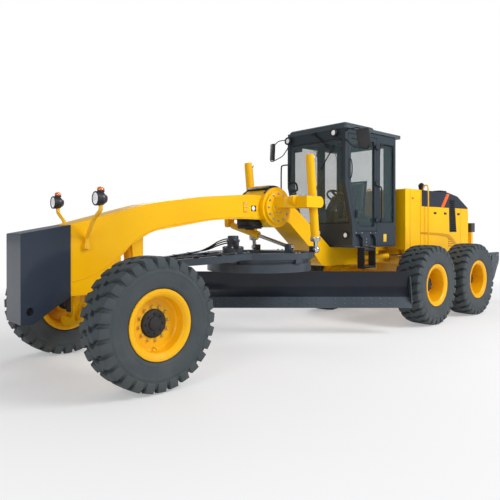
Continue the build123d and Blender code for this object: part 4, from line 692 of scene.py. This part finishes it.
for wheel in WHEELS:
    rows, seat, face, bolt_radius = WHEEL_FITTINGS["front" if "front" in wheel else "rear"]
    place = wheel_place(wheel)
    hub = Shape()
    hub.lathe(rows, place)
    hub.ring(place, 8, 0.096, 0.018, seat)
    hub.done(f"hub_{wheel}", black, f"wheel_{wheel}")
    bolts = Shape()
    bolts.ring(place, 12, bolt_radius, 0.030, face, 0.13)
    valve = place @ Matrix.Translation((0.0, 0.235, face))
    bolts.bar(valve @ Vector((0, 0, -0.002)), valve @ Vector((0, 0.012, 0.055)), 0.007, 10)
    bolts.done(f"wheel_bolts_{wheel}", wheel_bolt, f"wheel_{wheel}")

# ---- Beam: lamps, bolts, welds and the valve block
HALF_BEAM = 0.200
LAMP_RECESS = HALF_BEAM - 0.024         # back of the recess in the beam's side
BEAM_SEAM = [
    # distance behind the front axle, height
    (-0.42, 1.03), (-0.05, 1.105), (0.30, 1.455), (0.58, 1.600), (1.00, 1.670), (1.45, 1.733),
    (1.92, 1.763), (2.30, 1.755), (2.62, 1.738),
]

# a lamp in a dark recess on each side of the beam
trim, lamps = Shape(), Shape()
for side in SIDES:
    trim.slab(side, (2.2715, 2.1805), (LAMP_RECESS, LAMP_RECESS + 0.003), (1.8465, 1.9255))
    for distance in (2.272, 2.185):
        trim.slab(side, (distance, distance - 0.005), (LAMP_RECESS, HALF_BEAM), (1.846, 1.926))
    seat = sideways(side, 2.226, LAMP_RECESS + 0.004, 1.886)
    trim.lathe([(0.0, 0.0405), (0.014, 0.0405), (0.018, 0.037), (0.018, 0.032), (0.010, 0.0315)],
               seat, 32)
    lamps.lathe([(0.0, 0.0315), (0.016, 0.0315), (0.020, 0.020), (0.0215, 0.0)], seat, 32)
trim.done("beam_lamp_trim", black_plastic)
lamps.done("beam_lamps", white_lens)

# bolts of a plate ahead of the saddle, and of the ball's bracket
bolts = Shape()
for distance in (2.044, 2.086):
    bolts.side_bolts(1, HALF_BEAM + 0.008, [(distance, 1.842), (distance, 1.901), (distance, 1.960)], 0.014)
for side in SIDES:
    bolts.side_bolts(side, 0.110, [(0.40, 1.190), (0.47, 1.190)], 0.018)
bolts.done("frame_bolts", bright)

# lines of weld along the beam's lower flange and where the nose meets it
welds = Shape()
for side in SIDES:
    welds.tube(in_plane(side, HALF_BEAM + 0.001, BEAM_SEAM), 0.0045, 6)
    welds.tube(in_plane(side, HALF_BEAM + 0.001, [(-0.438, 0.89), (-0.438, 1.2), (-0.438, 1.63)]),
               0.005, 6)
welds.done("frame_welds", yellow)

# valve block under the beam
block = Shape()
block.box((at(2.47), -0.13, 1.655), (at(2.20), 0.13, 1.752), 0.006)
block.box((at(2.43), -0.155, 1.600), (at(2.24), 0.155, 1.660), 0.006)
for index in range(5):
    x = at(2.41 - index * 0.036)
    block.bar((x, -0.185, 1.630), (x, 0.185, 1.630), 0.012, 12)
    block.bar((x, 0.0, 1.585), (x, 0.0, 1.602), 0.014, 6)
block.done("valve_block", black)

# ---- Saddle: bolt rings, clamp bolts and the drum's cover
SADDLE = 2.630                          # behind the front axle
SADDLE_HEIGHT = 1.910

bolts = Shape()
for side in SIDES:
    bolts.ring(sideways(side, SADDLE, HALF_BEAM + 0.092, SADDLE_HEIGHT), 12, 0.196, 0.026)
    bolts.ring(sideways(side, SADDLE, HALF_BEAM + 0.104, SADDLE_HEIGHT), 6, 0.082, 0.020)
    for behind in (0.085, 0.165):
        for reach in (0.560, 0.755):
            bolts.bolt(upward(at(SADDLE) - behind, side * reach, 2.060), 0.030)
bolts.done("saddle_bolts", bright)

# side plates that follow the drum, and a band over it from one to the other
cover = Shape()
for side in SIDES:
    inner = min(side * 0.205, side * 0.235)
    plane = facing((at(SADDLE), inner + 0.030, SADDLE_HEIGHT), (0, -1, 0), (-1, 0, 0))
    cover.panel(arc(0.300, 42, 138, 16) + arc(0.180, 138, 42, 16), 0.030, plane @ spun(math.pi), 0.004)
plane = facing((at(SADDLE), -HALF_BEAM, SADDLE_HEIGHT), (0, 1, 0))
cover.panel(arc(0.322, 58, 128, 14) + arc(0.292, 128, 58, 14), 2 * HALF_BEAM,
            plane @ Matrix.Scale(-1, 4, (0, 1, 0)), 0.006)
cover.done("saddle_cover", black)

# ---- Blade: bolts of the cutting edge and the end bits
CIRCLE = 2.520                          # circle's centre behind the front axle
BLADE_TURN = math.radians(48.0)
BLADE_AHEAD = Vector((math.cos(BLADE_TURN), math.sin(BLADE_TURN), 0))
BLADE_ALONG = Vector((-math.sin(BLADE_TURN), math.cos(BLADE_TURN), 0))
BLADE_MIDDLE = 0.336                    # blade's middle to the left of the circle's centre
HALF_BLADE = 1.981
# forwards and upwards: top of the cutting edge, the way down its face, and the way out of it
EDGE_TOP, EDGE_DOWN, EDGE_OUT = (-0.2517, 0.560), (0.536, -0.844), (0.844, 0.536)


def on_blade(forwards, along, height):
    """A point by its place ahead of the circle's centre, along the blade, and its height."""
    return Vector((at(CIRCLE), 0, height)) + BLADE_AHEAD * forwards + BLADE_ALONG * along


bolts = Shape()
for down in (0.036, 0.118):
    for index in range(25):
        along = BLADE_MIDDLE - 1.645 + index * 0.137
        foot, top = [[EDGE_TOP[axis] + EDGE_DOWN[axis] * down + EDGE_OUT[axis] * out for axis in (0, 1)]
                     for out in (0.0163, 0.0223)]
        bolts.bar(on_blade(foot[0], along, foot[1]), on_blade(top[0], along, top[1]), 0.013, 12, 0.011)
for side in (-1, 1):
    for forwards, height in ((-0.285, 0.56), (-0.285, 0.66), (-0.285, 0.78), (-0.215, 0.50)):
        spot = on_blade(forwards, BLADE_MIDDLE + side * HALF_BLADE, height)
        bolts.bolt(facing(spot, BLADE_ALONG * side, (0, 0, 1)), 0.026)
bolts.done("edge_bolts", edge_steel, "moldboard")

# dark gaps between the cutting edge and the end bits
joints = Shape()
for side in (-1, 1):
    along = BLADE_MIDDLE + side * (HALF_BLADE - 0.28)
    joints.bar(on_blade(-0.2369, along, 0.5605), on_blade(-0.1862, along, 0.480), 0.0035, 6)
joints.done("edge_joints", black, "moldboard")

# ---- Drawbar: bolts and fixed lines
GEARBOX_X = at(CIRCLE) + 0.503
DRAWBAR_BALL = 0.420                    # behind the front axle
BEAM_SPREAD = 0.3048                    # sideways for each metre behind the ball
BEAM_FOOT, BEAM_SLOPE = 1.152, 0.0625   # height at the front axle, and rise for each metre

# bolts of the gearbox, of its motor and foot, and of the shoes that hold the circle
bolts = Shape()
bolts.ring(upward(GEARBOX_X, 0, 1.335), 8, 0.140, 0.022)
bolts.ring(upward(GEARBOX_X, 0, 1.440), 6, 0.087, 0.018)
for x in (-0.150, 0.110):
    for y in (-0.150, 0.150):
        bolts.bolt(upward(GEARBOX_X + x, y, 1.265), 0.026)
for angle in (20, 90, 160, 200, 270, 340):
    for drift in (-0.035, 0.035):
        spot = Vector((at(CIRCLE), 0, 0)) + spun(math.radians(angle)) @ Vector((0.767, drift, 1.265))
        bolts.bolt(upward(*spot), 0.024)
bolts.done("drawbar_bolts", bright, "drawbar")


def on_beam(distance, side, spread=0.0, lift=0.0):
    """A point over a drawbar beam's sloping top, some metres behind the front axle."""
    return Vector((at(distance), side * BEAM_SPREAD * (distance - DRAWBAR_BALL) + spread,
                   BEAM_FOOT + BEAM_SLOPE * distance + lift))


# three fixed lines along each beam, under clips, that rise to the swivel over the circle
lines = Shape()
for side in SIDES:
    for index in range(3):
        spread, rise = (index - 1) * 0.026, index * 0.030
        points = [on_beam(0.760, side, spread, -0.010)]
        points += [on_beam(distance, side, spread, 0.016) for distance in (0.780, 1.000, 1.400, 1.700)]
        points += [(at(1.830), side * 0.300 + spread, 1.300 + index * 0.024),
                   (at(1.900), side * 0.150, 1.380 + rise), (at(1.960), side * 0.060, 1.400 + rise)]
        lines.tube(points, 0.0095, 8)
    for distance in (0.90, 1.20, 1.50):
        middle = on_beam(distance, side)
        lines.box(middle - Vector((0.015, 0.045, 0.004)), middle + Vector((0.015, 0.045, 0.030)), 0.003)
lines.done("drawbar_lines", black, "drawbar")

# ---- Lift cylinders: glands and hose blocks
for side, name in ((1, "left"), (-1, "right")):
    trunnion = Vector((at(2.970), side * 0.650, 1.980))
    down = (Vector((at(3.040), side * 0.650, 1.300)) - trunnion).normalized()
    gland = Shape()
    gland.lathe([(0.500, 0.0715), (0.505, 0.0735), (0.552, 0.0735), (0.558, 0.070), (0.562, 0.060),
                 (0.564, 0.035)], facing(trunnion, down), 40)
    for reach in (-0.640, 0.440):
        gland.box((-0.030, -0.024, 0.050), (0.030, 0.024, 0.086), 0.005,
                  facing(trunnion + down * reach, (-1, 0, 0), (0, 1, 0)))
    gland.done(f"lift_gland_{name}", bright, f"lift_barrel_{name}")

# ---- Headlamps: bezels, lenses and indicators
HEADLAMP_X, HEADLAMP_Y, HEADLAMP_Z = at(-0.265), 0.550, 1.910

bezels, lenses, indicators = Shape(), Shape(), Shape()
for side in SIDES:
    face = ahead(HEADLAMP_X + 0.058, side * HEADLAMP_Y, HEADLAMP_Z)
    bezels.lathe([(-0.050, 0.0735), (0.004, 0.075), (0.008, 0.072), (0.008, 0.064), (0.001, 0.062)],
                 face, 40)
    lenses.lathe([(0.0, 0.0625), (0.004, 0.060), (0.009, 0.040), (0.011, 0.0)], face, 40)
    bezels.box((HEADLAMP_X - 0.030, side * HEADLAMP_Y - 0.030, HEADLAMP_Z + 0.064),
               (HEADLAMP_X + 0.030, side * HEADLAMP_Y + 0.030, HEADLAMP_Z + 0.086), 0.006)
    indicators.lathe([(0.0, 0.038), (0.022, 0.037), (0.032, 0.030), (0.038, 0.016), (0.039, 0.0)],
                     upward(HEADLAMP_X, side * HEADLAMP_Y, HEADLAMP_Z + 0.085), 32)
bezels.done("headlamp_bezels", black_plastic)
lenses.done("headlamp_lenses", white_lens)
indicators.done("indicators", orange_lens)

# ---- Cab
FRONT_FACE = at(3.785)                  # upright upper half of the cab's front
CAB_WALL = 0.6015                       # just outside the cab's side
SCREEN_HALF = 0.548
SCREEN_TOP, SCREEN_FOOT = (3.7885, 3.008), (3.966, 1.694)
DOOR_GLASS = [
    # distance behind the front axle, height
    (3.925, 3.030), (3.925, 2.332), (4.075, 1.772), (4.150, 1.632), (4.570, 1.632), (4.570, 3.030),
]
SIDE_GLASS = [(4.726, 1.708), (4.726, 3.027), (5.145, 3.027), (5.145, 1.708)]
MIRROR_ARM = [
    # distance out from the cab's middle, height
    (0.612, 3.140), (0.760, 3.140), (0.850, 3.140), (0.980, 3.050), (1.050, 2.830), (1.000, 2.790),
    (0.860, 2.830), (0.720, 2.870), (0.650, 2.960), (0.612, 2.983),
]
RAIL = FRONT_FACE + 0.020
OUTER_RAIL = [
    (RAIL - 0.02, -0.600, 2.700), (RAIL, -0.640, 2.702), (RAIL, -0.725, 2.700), (RAIL, -0.745, 2.665),
    (RAIL, -0.745, 2.350), (RAIL, -0.745, 2.005), (RAIL, -0.725, 1.970), (RAIL - 0.04, -0.640, 1.968),
    (RAIL - 0.09, -0.605, 1.966),
]
SCREEN_LOOP = [
    # ahead of the cab's front, Y, height
    (-0.010, -0.585, 2.390), (0.040, -0.580, 2.390), (0.045, -0.430, 2.390), (0.045, -0.370, 2.370),
    (0.040, -0.350, 2.290), (0.020, -0.370, 2.240), (0.010, -0.580, 2.240), (-0.040, -0.585, 2.240),
]

# seals of the windows, tubes with sharp corners
seals = Shape()
for side in SIDES:
    seals.tube(in_plane(side, SCREEN_HALF, [SCREEN_TOP, (3.7885, 2.32), SCREEN_FOOT]), 0.008, 6, 2)
    seals.tube(in_plane(side, CAB_WALL, DOOR_GLASS + DOOR_GLASS[:1]), 0.007, 6, 2)
    seals.tube(in_plane(side, CAB_WALL + 0.006, SIDE_GLASS + SIDE_GLASS[:1]), 0.006, 6, 2)
for distance, height in (SCREEN_TOP, SCREEN_FOOT):
    seals.tube([(at(distance), -SCREEN_HALF, height), (at(distance), SCREEN_HALF, height)], 0.008, 6, 2)
seals.done("window_seals", hose_rubber)

wiper = Shape()
x = FRONT_FACE + 0.016
wiper.box((x - 0.016, -0.055, 3.125), (x + 0.012, 0.030, 3.165), 0.008)
wiper.tube([(x, -0.020, 3.145), (x + 0.010, 0.147, 3.020), (x + 0.006, 0.270, 2.885)], 0.008, 8, 2)
wiper.tube([(x, 0.010, 3.145), (x + 0.010, 0.177, 3.020), (x + 0.006, 0.290, 2.895)], 0.006, 8, 2)
middle = Vector((0, 0.270, 2.740))
wiper.box((x - 0.008, 0.262, 2.520), (x + 0.004, 0.278, 2.960), 0.003,
          Matrix.Translation(middle) @ spun(math.radians(-38), "X") @ Matrix.Translation(-middle))
wiper.done("wiper", black)

visor = Shape()
visor.box((FRONT_FACE - 0.150, -0.530, 2.915), (FRONT_FACE - 0.060, -0.400, 3.005), 0.012)
visor.box((FRONT_FACE - 0.075, -0.380, 2.975), (FRONT_FACE - 0.062, 0.500, 3.008), 0.004)
visor.done("sun_visor", black_plastic)

# two round lamps in the header and one, flatter, at the cab's foot
lamps, lenses = Shape(), Shape()
for y, z in ((0.418, 3.110), (-0.560, 3.100)):
    face = ahead(FRONT_FACE + 0.002, y, z)
    lamps.lathe([(0.0, 0.030), (0.012, 0.056), (0.055, 0.067), (0.062, 0.064), (0.062, 0.044),
                 (0.050, 0.042)], face, 32)
    lenses.lathe([(0.048, 0.0425), (0.056, 0.034), (0.060, 0.0)], face, 32)
face = ahead(at(3.972), 0.479, 1.500)
lamps.lathe([(0.0, 0.062), (0.020, 0.062), (0.026, 0.056), (0.026, 0.041), (0.014, 0.039)], face, 32)
lenses.lathe([(0.010, 0.0395), (0.020, 0.030), (0.023, 0.0)], face, 32)
lamps.done("work_lamps", black_plastic)
lenses.done("work_lenses", white_lens)

# the outer rail and the loop on the right, and a rail behind each door
rails = Shape()
rails.tube(OUTER_RAIL, 0.012)
rails.tube([(FRONT_FACE + out, y, z) for out, y, z in SCREEN_LOOP], 0.016)
for side in SIDES:
    rails.tube([(at(4.685), side * reach, height) for reach, height in (
        (0.612, 2.300), (0.668, 2.300), (0.668, 2.260), (0.668, 1.760), (0.668, 1.720), (0.612, 1.720))],
               0.011)
rails.done("grab_rails", black)

# mirrors on bent arms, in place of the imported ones
arms, shells, faces = Shape(), Shape(), Shape()
for side in SIDES:
    arms.tube([(FRONT_FACE - 0.008, side * reach, height) for reach, height in MIRROR_ARM], 0.0085)
    for height in (3.120, 2.965):
        arms.slab(side, (3.835, 3.785), (0.610, 0.624), (height, height + 0.036), 0.003)
    place = (Matrix.Translation((FRONT_FACE + 0.015, side * 0.960, 2.960))
             @ spun(math.radians(side * 30)) @ spun(math.radians(side * 8), "X"))
    shells.box((-0.020, -0.098, -0.148), (0.024, 0.098, 0.148), 0.018, place)
    faces.box((-0.0225, -0.088, -0.138), (-0.0195, 0.088, 0.138), 0.001, place)
piece = arms.done("mirror_arms", black)
shells.done("mirror_shells", black_plastic)
faces.done("mirror_faces", mirror_glass)
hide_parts("mirrors")

# grip bars across the steps' treads
grips = Shape()
for side in SIDES:
    low, high = sorted((side * 0.604, side * 0.716))
    for tread in (1.000, 1.275):
        for index in range(9):
            x = at(4.150 + index * 0.0325)
            grips.bar((x, low + 0.006, tread + 0.003), (x, high - 0.006, tread + 0.003), 0.0045, 8)
grips.done("step_grips", bright)

# bolts and seams of the panels below the doors
fittings = Shape()
for side in SIDES:
    fittings.side_bolts(side, 0.6105, [(4.345, 1.335), (4.345, 1.385), (4.345, 1.435)], 0.014)
    fittings.side_bolts(side, 0.6105, [(4.06, 1.537), (4.22, 1.537), (4.46, 1.537), (4.60, 1.537)], 0.012)
    for distance in (4.050, 4.460):
        fittings.slab(side, (distance + 0.13, distance), (0.566, 0.6115), (1.3135, 1.3195), 0.001)
fittings.done("cab_fittings", bright)

plates = Shape()
plates.slab(1, (4.925, 4.835), (0.6095, 0.612), (1.385, 1.515), 0.001)
plates.done("blank_plates", plate_yellow)

# latch, lock and pull of each door
for side, door in ((1, "door_left"), (-1, "door_right")):
    handle = Shape()
    handle.slab(side, (4.068, 4.044), (0.612, 0.640), (1.785, 1.895), 0.006)
    handle.bar((at(4.115), side * 0.612, 1.700), (at(4.115), side * 0.622, 1.700), 0.013, 20, None, 0.002)
    handle.tube([(at(3.905), side * reach, height) for reach, height in (
        (0.609, 2.700), (0.650, 2.690), (0.650, 2.400), (0.609, 2.390))], 0.009)
    handle.done(f"{door}_handle", black, door)

# ---- Seat and lever knobs
SEAT_X = at(4.620)
BACK_LEAN = Matrix.Translation((SEAT_X - 0.150, 0, 1.800)) @ spun(math.radians(-97.5), "Y")
CLOTH_GRID = 0.012
MOST_SWELL = 0.022                      # furthest that the cloth may move
CHANNEL_WIDTH, CHANNEL_DEPTH = 0.012, 0.012


def blow_up(piece):
    """Remeshes a padded block evenly and inflates it as cloth, no further than MOST_SWELL."""
    scene = bpy.context.scene
    remesh = piece.modifiers.new("remesh", "REMESH")
    remesh.mode, remesh.voxel_size = "VOXEL", CLOTH_GRID
    bpy.context.view_layer.objects.active = piece
    graph = bpy.context.evaluated_depsgraph_get()
    piece.data = bpy.data.meshes.new_from_object(piece.evaluated_get(graph))
    piece.modifiers.clear()
    rest = [vert.co.copy() for vert in piece.data.vertices]
    cloth = piece.modifiers.new("cloth", "CLOTH")
    cloth.settings.use_pressure = True
    cloth.settings.uniform_pressure_force = 4.0
    cloth.settings.effector_weights.gravity = 0.0
    for step in range(1, 21):
        scene.frame_set(step)
    blown = bpy.data.meshes.new_from_object(piece.evaluated_get(bpy.context.evaluated_depsgraph_get()))
    piece.modifiers.clear()
    scene.frame_set(1)
    for vert, start in zip(blown.vertices, rest):
        drift = vert.co - start
        if drift.length > MOST_SWELL:
            vert.co = start + drift * (MOST_SWELL / drift.length)
    piece.data = blown
    piece.data.shade_smooth()


def cushion(name, low, high, lean, channels):
    """A padded block in a leaning frame, with sewn channels pressed into its top."""
    shape = Shape()
    shape.box(low, high, 0.030, lean)
    piece = shape.done(name, seat_cloth, crease=60.0)
    blow_up(piece)
    back = lean.inverted()
    for vert in piece.data.vertices:
        local = back @ vert.co
        if local.z > (low[2] + high[2]) / 2:
            local.z -= CHANNEL_DEPTH * sum(math.exp(-((local.y - channel) / CHANNEL_WIDTH) ** 2)
                                           for channel in channels)
        vert.co = lean @ local
    if not piece.data.materials:
        piece.data.materials.append(seat_cloth.material)
    smooth = piece.modifiers.new("smooth", "SUBSURF")
    smooth.levels = smooth.render_levels = 1


# sprung base, cushion, back and the shell behind the back
base = Shape()
base.box((SEAT_X - 0.195, -0.185, 1.382), (SEAT_X + 0.175, 0.185, 1.470), 0.010)
base.box((SEAT_X - 0.160, -0.150, 1.468), (SEAT_X + 0.150, 0.150, 1.560), 0.004)
for index in range(6):
    fold = 1.474 + index * 0.014
    base.box((SEAT_X - 0.172, -0.162, fold), (SEAT_X + 0.162, 0.162, fold + 0.007), 0.002)
base.box((SEAT_X - 0.240, -0.235, 1.556), (SEAT_X + 0.235, 0.235, 1.642), 0.018)
piece = base.done("seat_base", black_plastic)
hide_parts("seat")
cushion("seat_cushion", (SEAT_X - 0.205, -0.215, 1.655), (SEAT_X + 0.230, 0.215, 1.755), Matrix(),
        (-0.10, 0.10))
cushion("seat_back", (0.030, -0.205, -0.010), (0.640, 0.205, 0.070), BACK_LEAN, (-0.09, 0.09))
shell = Shape()
shell.box((0.000, -0.215, 0.072), (0.660, 0.215, 0.092), 0.010, BACK_LEAN)
shell.done("seat_shell", black_plastic)

knobs = Shape()
for side in SIDES:
    knobs.ball((at(4.430), side * 0.330, 2.022), 0.026)
    for index in range(4):
        x = at(4.500 + index * 0.055)
        knobs.bar((x, side * 0.330, 1.850), (x, side * 0.330, 1.930), 0.006, 10)
        knobs.ball((x, side * 0.330, 1.940), 0.016)
knobs.done("lever_knobs", black_plastic)

# ---- Hood: trims, hand rails, seams and lamps
HALF_HOOD = 0.600
LOUVRE = [
    # distance behind the front axle, height
    (7.130, 2.210), (7.416, 2.210), (7.507, 1.520), (7.161, 1.520),
]
CREASE = [
    (6.065, 1.511), (6.700, 1.480), (7.026, 1.455), (7.190, 1.400), (7.330, 1.320), (7.430, 1.245),
    (7.560, 1.245), (7.450, 1.340), (7.290, 1.445), (7.120, 1.505), (6.700, 1.530), (6.065, 1.549),
]
HAND_RAIL = [
    # distance out from the hood's side, height
    (-0.030, 2.320), (-0.030, 2.405), (0.050, 2.420), (0.070, 2.360), (0.070, 1.900), (0.070, 1.220),
    (0.060, 1.150), (-0.004, 1.150),
]
SEAMS = [
    # distance behind the front axle, lowest and highest point
    (6.060, 1.130, 2.318), (5.700, 1.130, 2.318), (7.640, 1.130, 2.180),
]


def on_wall(side, rows):
    """Rows of distance behind the front axle and height, in the plane of sideways(side, 0, ...)."""
    return [(-distance, -side * height) for distance, height in rows]


# strips along the crease of each hood side, and the slats of the vent below it, stand proud in a darker
# orange: painted shade of the recessed crease and vent
crease_shade_strips, seams, screens, rails, markers = Shape(), Shape(), Shape(), Shape(), Shape()
for side in SIDES:
    crease_shade_strips.panel(on_wall(side, CREASE), 0.005, sideways(side, 0, HALF_HOOD, 0), 0.002)
    for index in range(4):
        height = 1.262 + index * 0.045
        crease_shade_strips.slab(side, (7.385 - index * 0.040, 7.125), (HALF_HOOD, HALF_HOOD + 0.012),
                     (height, height + 0.016), 0.002)
    screens.panel(on_wall(side, LOUVRE), 0.004, sideways(side, 0, 0.552, 0))
    for distance, low, high in SEAMS:
        seams.slab(side, (distance + 0.0025, distance - 0.0025), (HALF_HOOD - 0.004, HALF_HOOD + 0.0015),
                   (low, high))
    rails.tube([(at(6.220), side * (HALF_HOOD + out), height) for out, height in HAND_RAIL], 0.013)
    for distance in (6.600, 7.000, 7.560):
        seams.slab(side, (distance + 0.045, distance - 0.045), (HALF_HOOD, HALF_HOOD + 0.010),
                   (1.885, 1.925), 0.004)
    markers.slab(side, (5.810, 5.756), (HALF_HOOD, HALF_HOOD + 0.018), (2.140, 2.178), 0.008)
crease_shade_strips.done("hood_crease_painted_shade", crease_painted_shade, "rear_frame")
seams.done("hood_seams", black_plastic, "rear_frame")
screens.done("louvre_screens", black, "rear_frame")
rails.done("hood_rails", yellow, "rear_frame")
markers.done("marker_lamps", orange_lens, "rear_frame")

caps = Shape()
caps.box((at(7.480), 0.200, 2.262), (at(7.220), 0.400, 2.385), 0.022)
caps.lathe([(0.0, 0.050), (0.030, 0.050), (0.034, 0.044), (0.034, 0.0)],
           upward(at(6.300), -0.250, 2.322), 32)
caps.box((at(7.040), -0.040, 2.3215), (at(6.400), 0.040, 2.334), 0.004)
caps.done("hood_caps", black, "rear_frame")

for name, finish, heights in (("tail_lamps", red_lens, (1.600, 1.715)),
                              ("reversing_lamps", white_lens, (1.550, 1.592))):
    lamps = Shape()
    for side in SIDES:
        lamps.slab(side, (8.278, 8.268), (0.548, 0.612), heights, 0.004)
    lamps.done(name, finish, "rear_frame")

bolts = Shape()
for side in SIDES:
    for reach in (0.200, 0.330, 0.560):
        for height in (0.870, 1.450):
            bolts.bolt(facing((at(8.200), side * reach, height), (-1, 0, 0), (0, 1, 0)), 0.034)
    bolts.side_bolts(side, 0.380, [(5.840 + index * 0.26, 1.175) for index in range(10)], 0.022)
bolts.done("rear_frame_bolts", bright, "rear_frame")

# ---- Ripper: tips and cheek bolts
TIP_WIDTH = 0.068
TIP = [(9.005, 0.460), (9.075, 0.480), (8.990, 0.335), (8.955, 0.330)]

tips, bolts = Shape(), Shape()
for y in (-0.600, 0.0, 0.600):
    tips.panel([(at(distance), height) for distance, height in TIP], TIP_WIDTH,
               Matrix.Translation((0, y + TIP_WIDTH / 2, 0)) @ spun(math.pi / 2, "X"), 0.004)
for side in SIDES:
    bolts.side_bolts(side, 0.815, [(8.480, 1.040), (8.560, 1.040), (8.880, 1.040), (8.960, 1.040),
                                   (8.880, 0.840), (8.960, 0.860)], 0.028)
tips.done("ripper_tips", worn, "ripper")
bolts.done("ripper_bolts", bright, "ripper")


# ---- Camera, light and floor
def camera():
    data = bpy.data.cameras.new("camera")
    data.sensor_width = 36.0
    data.lens = 37.3
    data.shift_x = 0.0128
    data.shift_y = -0.0362
    eye = placed("camera", data)
    eye.location = (FRONT_AXLE + 2.751, 5.520, 1.587)
    heading = math.radians(180 + 48.02)
    look = Vector((math.cos(heading), math.sin(heading), math.tan(math.radians(-0.24))))
    eye.rotation_euler = look.to_track_quat("-Z", "Y").to_euler()
    bpy.context.scene.camera = eye


def area_lamp(name, spot, target, size, power):
    data = bpy.data.lights.new(name, "AREA")
    data.shape = "DISK"
    data.size = size
    data.energy = power
    lamp = placed(name, data)
    lamp.location = spot
    lamp.rotation_euler = (Vector(target) - Vector(spot)).to_track_quat("-Z", "Y").to_euler()


def lit(tree, kind, colour, strength):
    """An emission or background node of one colour."""
    node = tree.nodes.new(kind)
    node.inputs["Color"].default_value = (*colour, 1.0)
    node.inputs["Strength"].default_value = strength
    return node.outputs[0]


def blended(tree, one, other, output):
    """Mixes two shaders into an output node, and gives the socket of the mix's factor."""
    either = tree.nodes.new("ShaderNodeMixShader")
    tree.links.new(one, either.inputs[1])
    tree.links.new(other, either.inputs[2])
    tree.links.new(either.outputs[0], tree.nodes[output].inputs["Surface"])
    return either.inputs[0]


def floor_finish():
    """Pale floor that fades to pure white far out, for the eye and for mirrored and clear surfaces."""
    ground = Finish("floor", {"Roughness": 0.9})
    ground.colour(ground.mix(ground.noise(3.0), linear(240, 240, 240), linear(236, 236, 236)))
    away = ground.node("ShaderNodeMath", {"operation": "SQRT"},
                       [ground.axis(0) * ground.axis(0) + ground.axis(1) * ground.axis(1)])
    path = ground.tree.nodes.new("ShaderNodeLightPath")
    camera_ray, glossy_ray, clear_ray = [Value(ground, path.outputs[f"Is {kind} Ray"])
                                         for kind in ("Camera", "Glossy", "Transmission")]
    share = ground.node("ShaderNodeMath", {"operation": "MULTIPLY", "use_clamp": True},
                        [camera_ray + glossy_ray + clear_ray, away.fade(5.0, 10.0) * 0.65 + 0.35])
    white = lit(ground.tree, "ShaderNodeEmission", WHITE, 1.0)
    ground.feed(blended(ground.tree, ground.shader.outputs[0], white, "Material Output"), share)
    return ground


def surround():
    """A soft pale world that the camera sees as pure white."""
    world = bpy.data.worlds.new("studio")
    bpy.context.scene.world = world
    world.use_nodes = True
    tree = world.node_tree
    soft = lit(tree, "ShaderNodeBackground", (0.93, 0.95, 1.0), 0.42)
    seen = lit(tree, "ShaderNodeBackground", WHITE, 1.0)
    path = tree.nodes.new("ShaderNodeLightPath")
    tree.links.new(path.outputs["Is Camera Ray"], blended(tree, soft, seen, "World Output"))


def studio():
    """A pale floor and a pale surround, lit softly from the machine's left rear."""
    surround()
    area_lamp("key", (-3.0, 9.0, 8.0), (0.5, 0.5, 1.0), 6.0, 1060)
    area_lamp("fill", (11.0, 5.0, 4.5), (2.0, 0.0, 1.0), 5.0, 230)
    area_lamp("rim", (-4.0, -9.0, 7.0), (0.0, 0.0, 1.5), 6.0, 420)
    mesh = bmesh.new()
    bmesh.ops.create_grid(mesh, x_segments=1, y_segments=1, size=60.0)
    data = bpy.data.meshes.new("floor")
    mesh.to_mesh(data)
    mesh.free()
    data.materials.append(floor_finish().material)
    placed("floor", data)
    bpy.context.scene.view_settings.view_transform = "Standard"


camera()
studio()
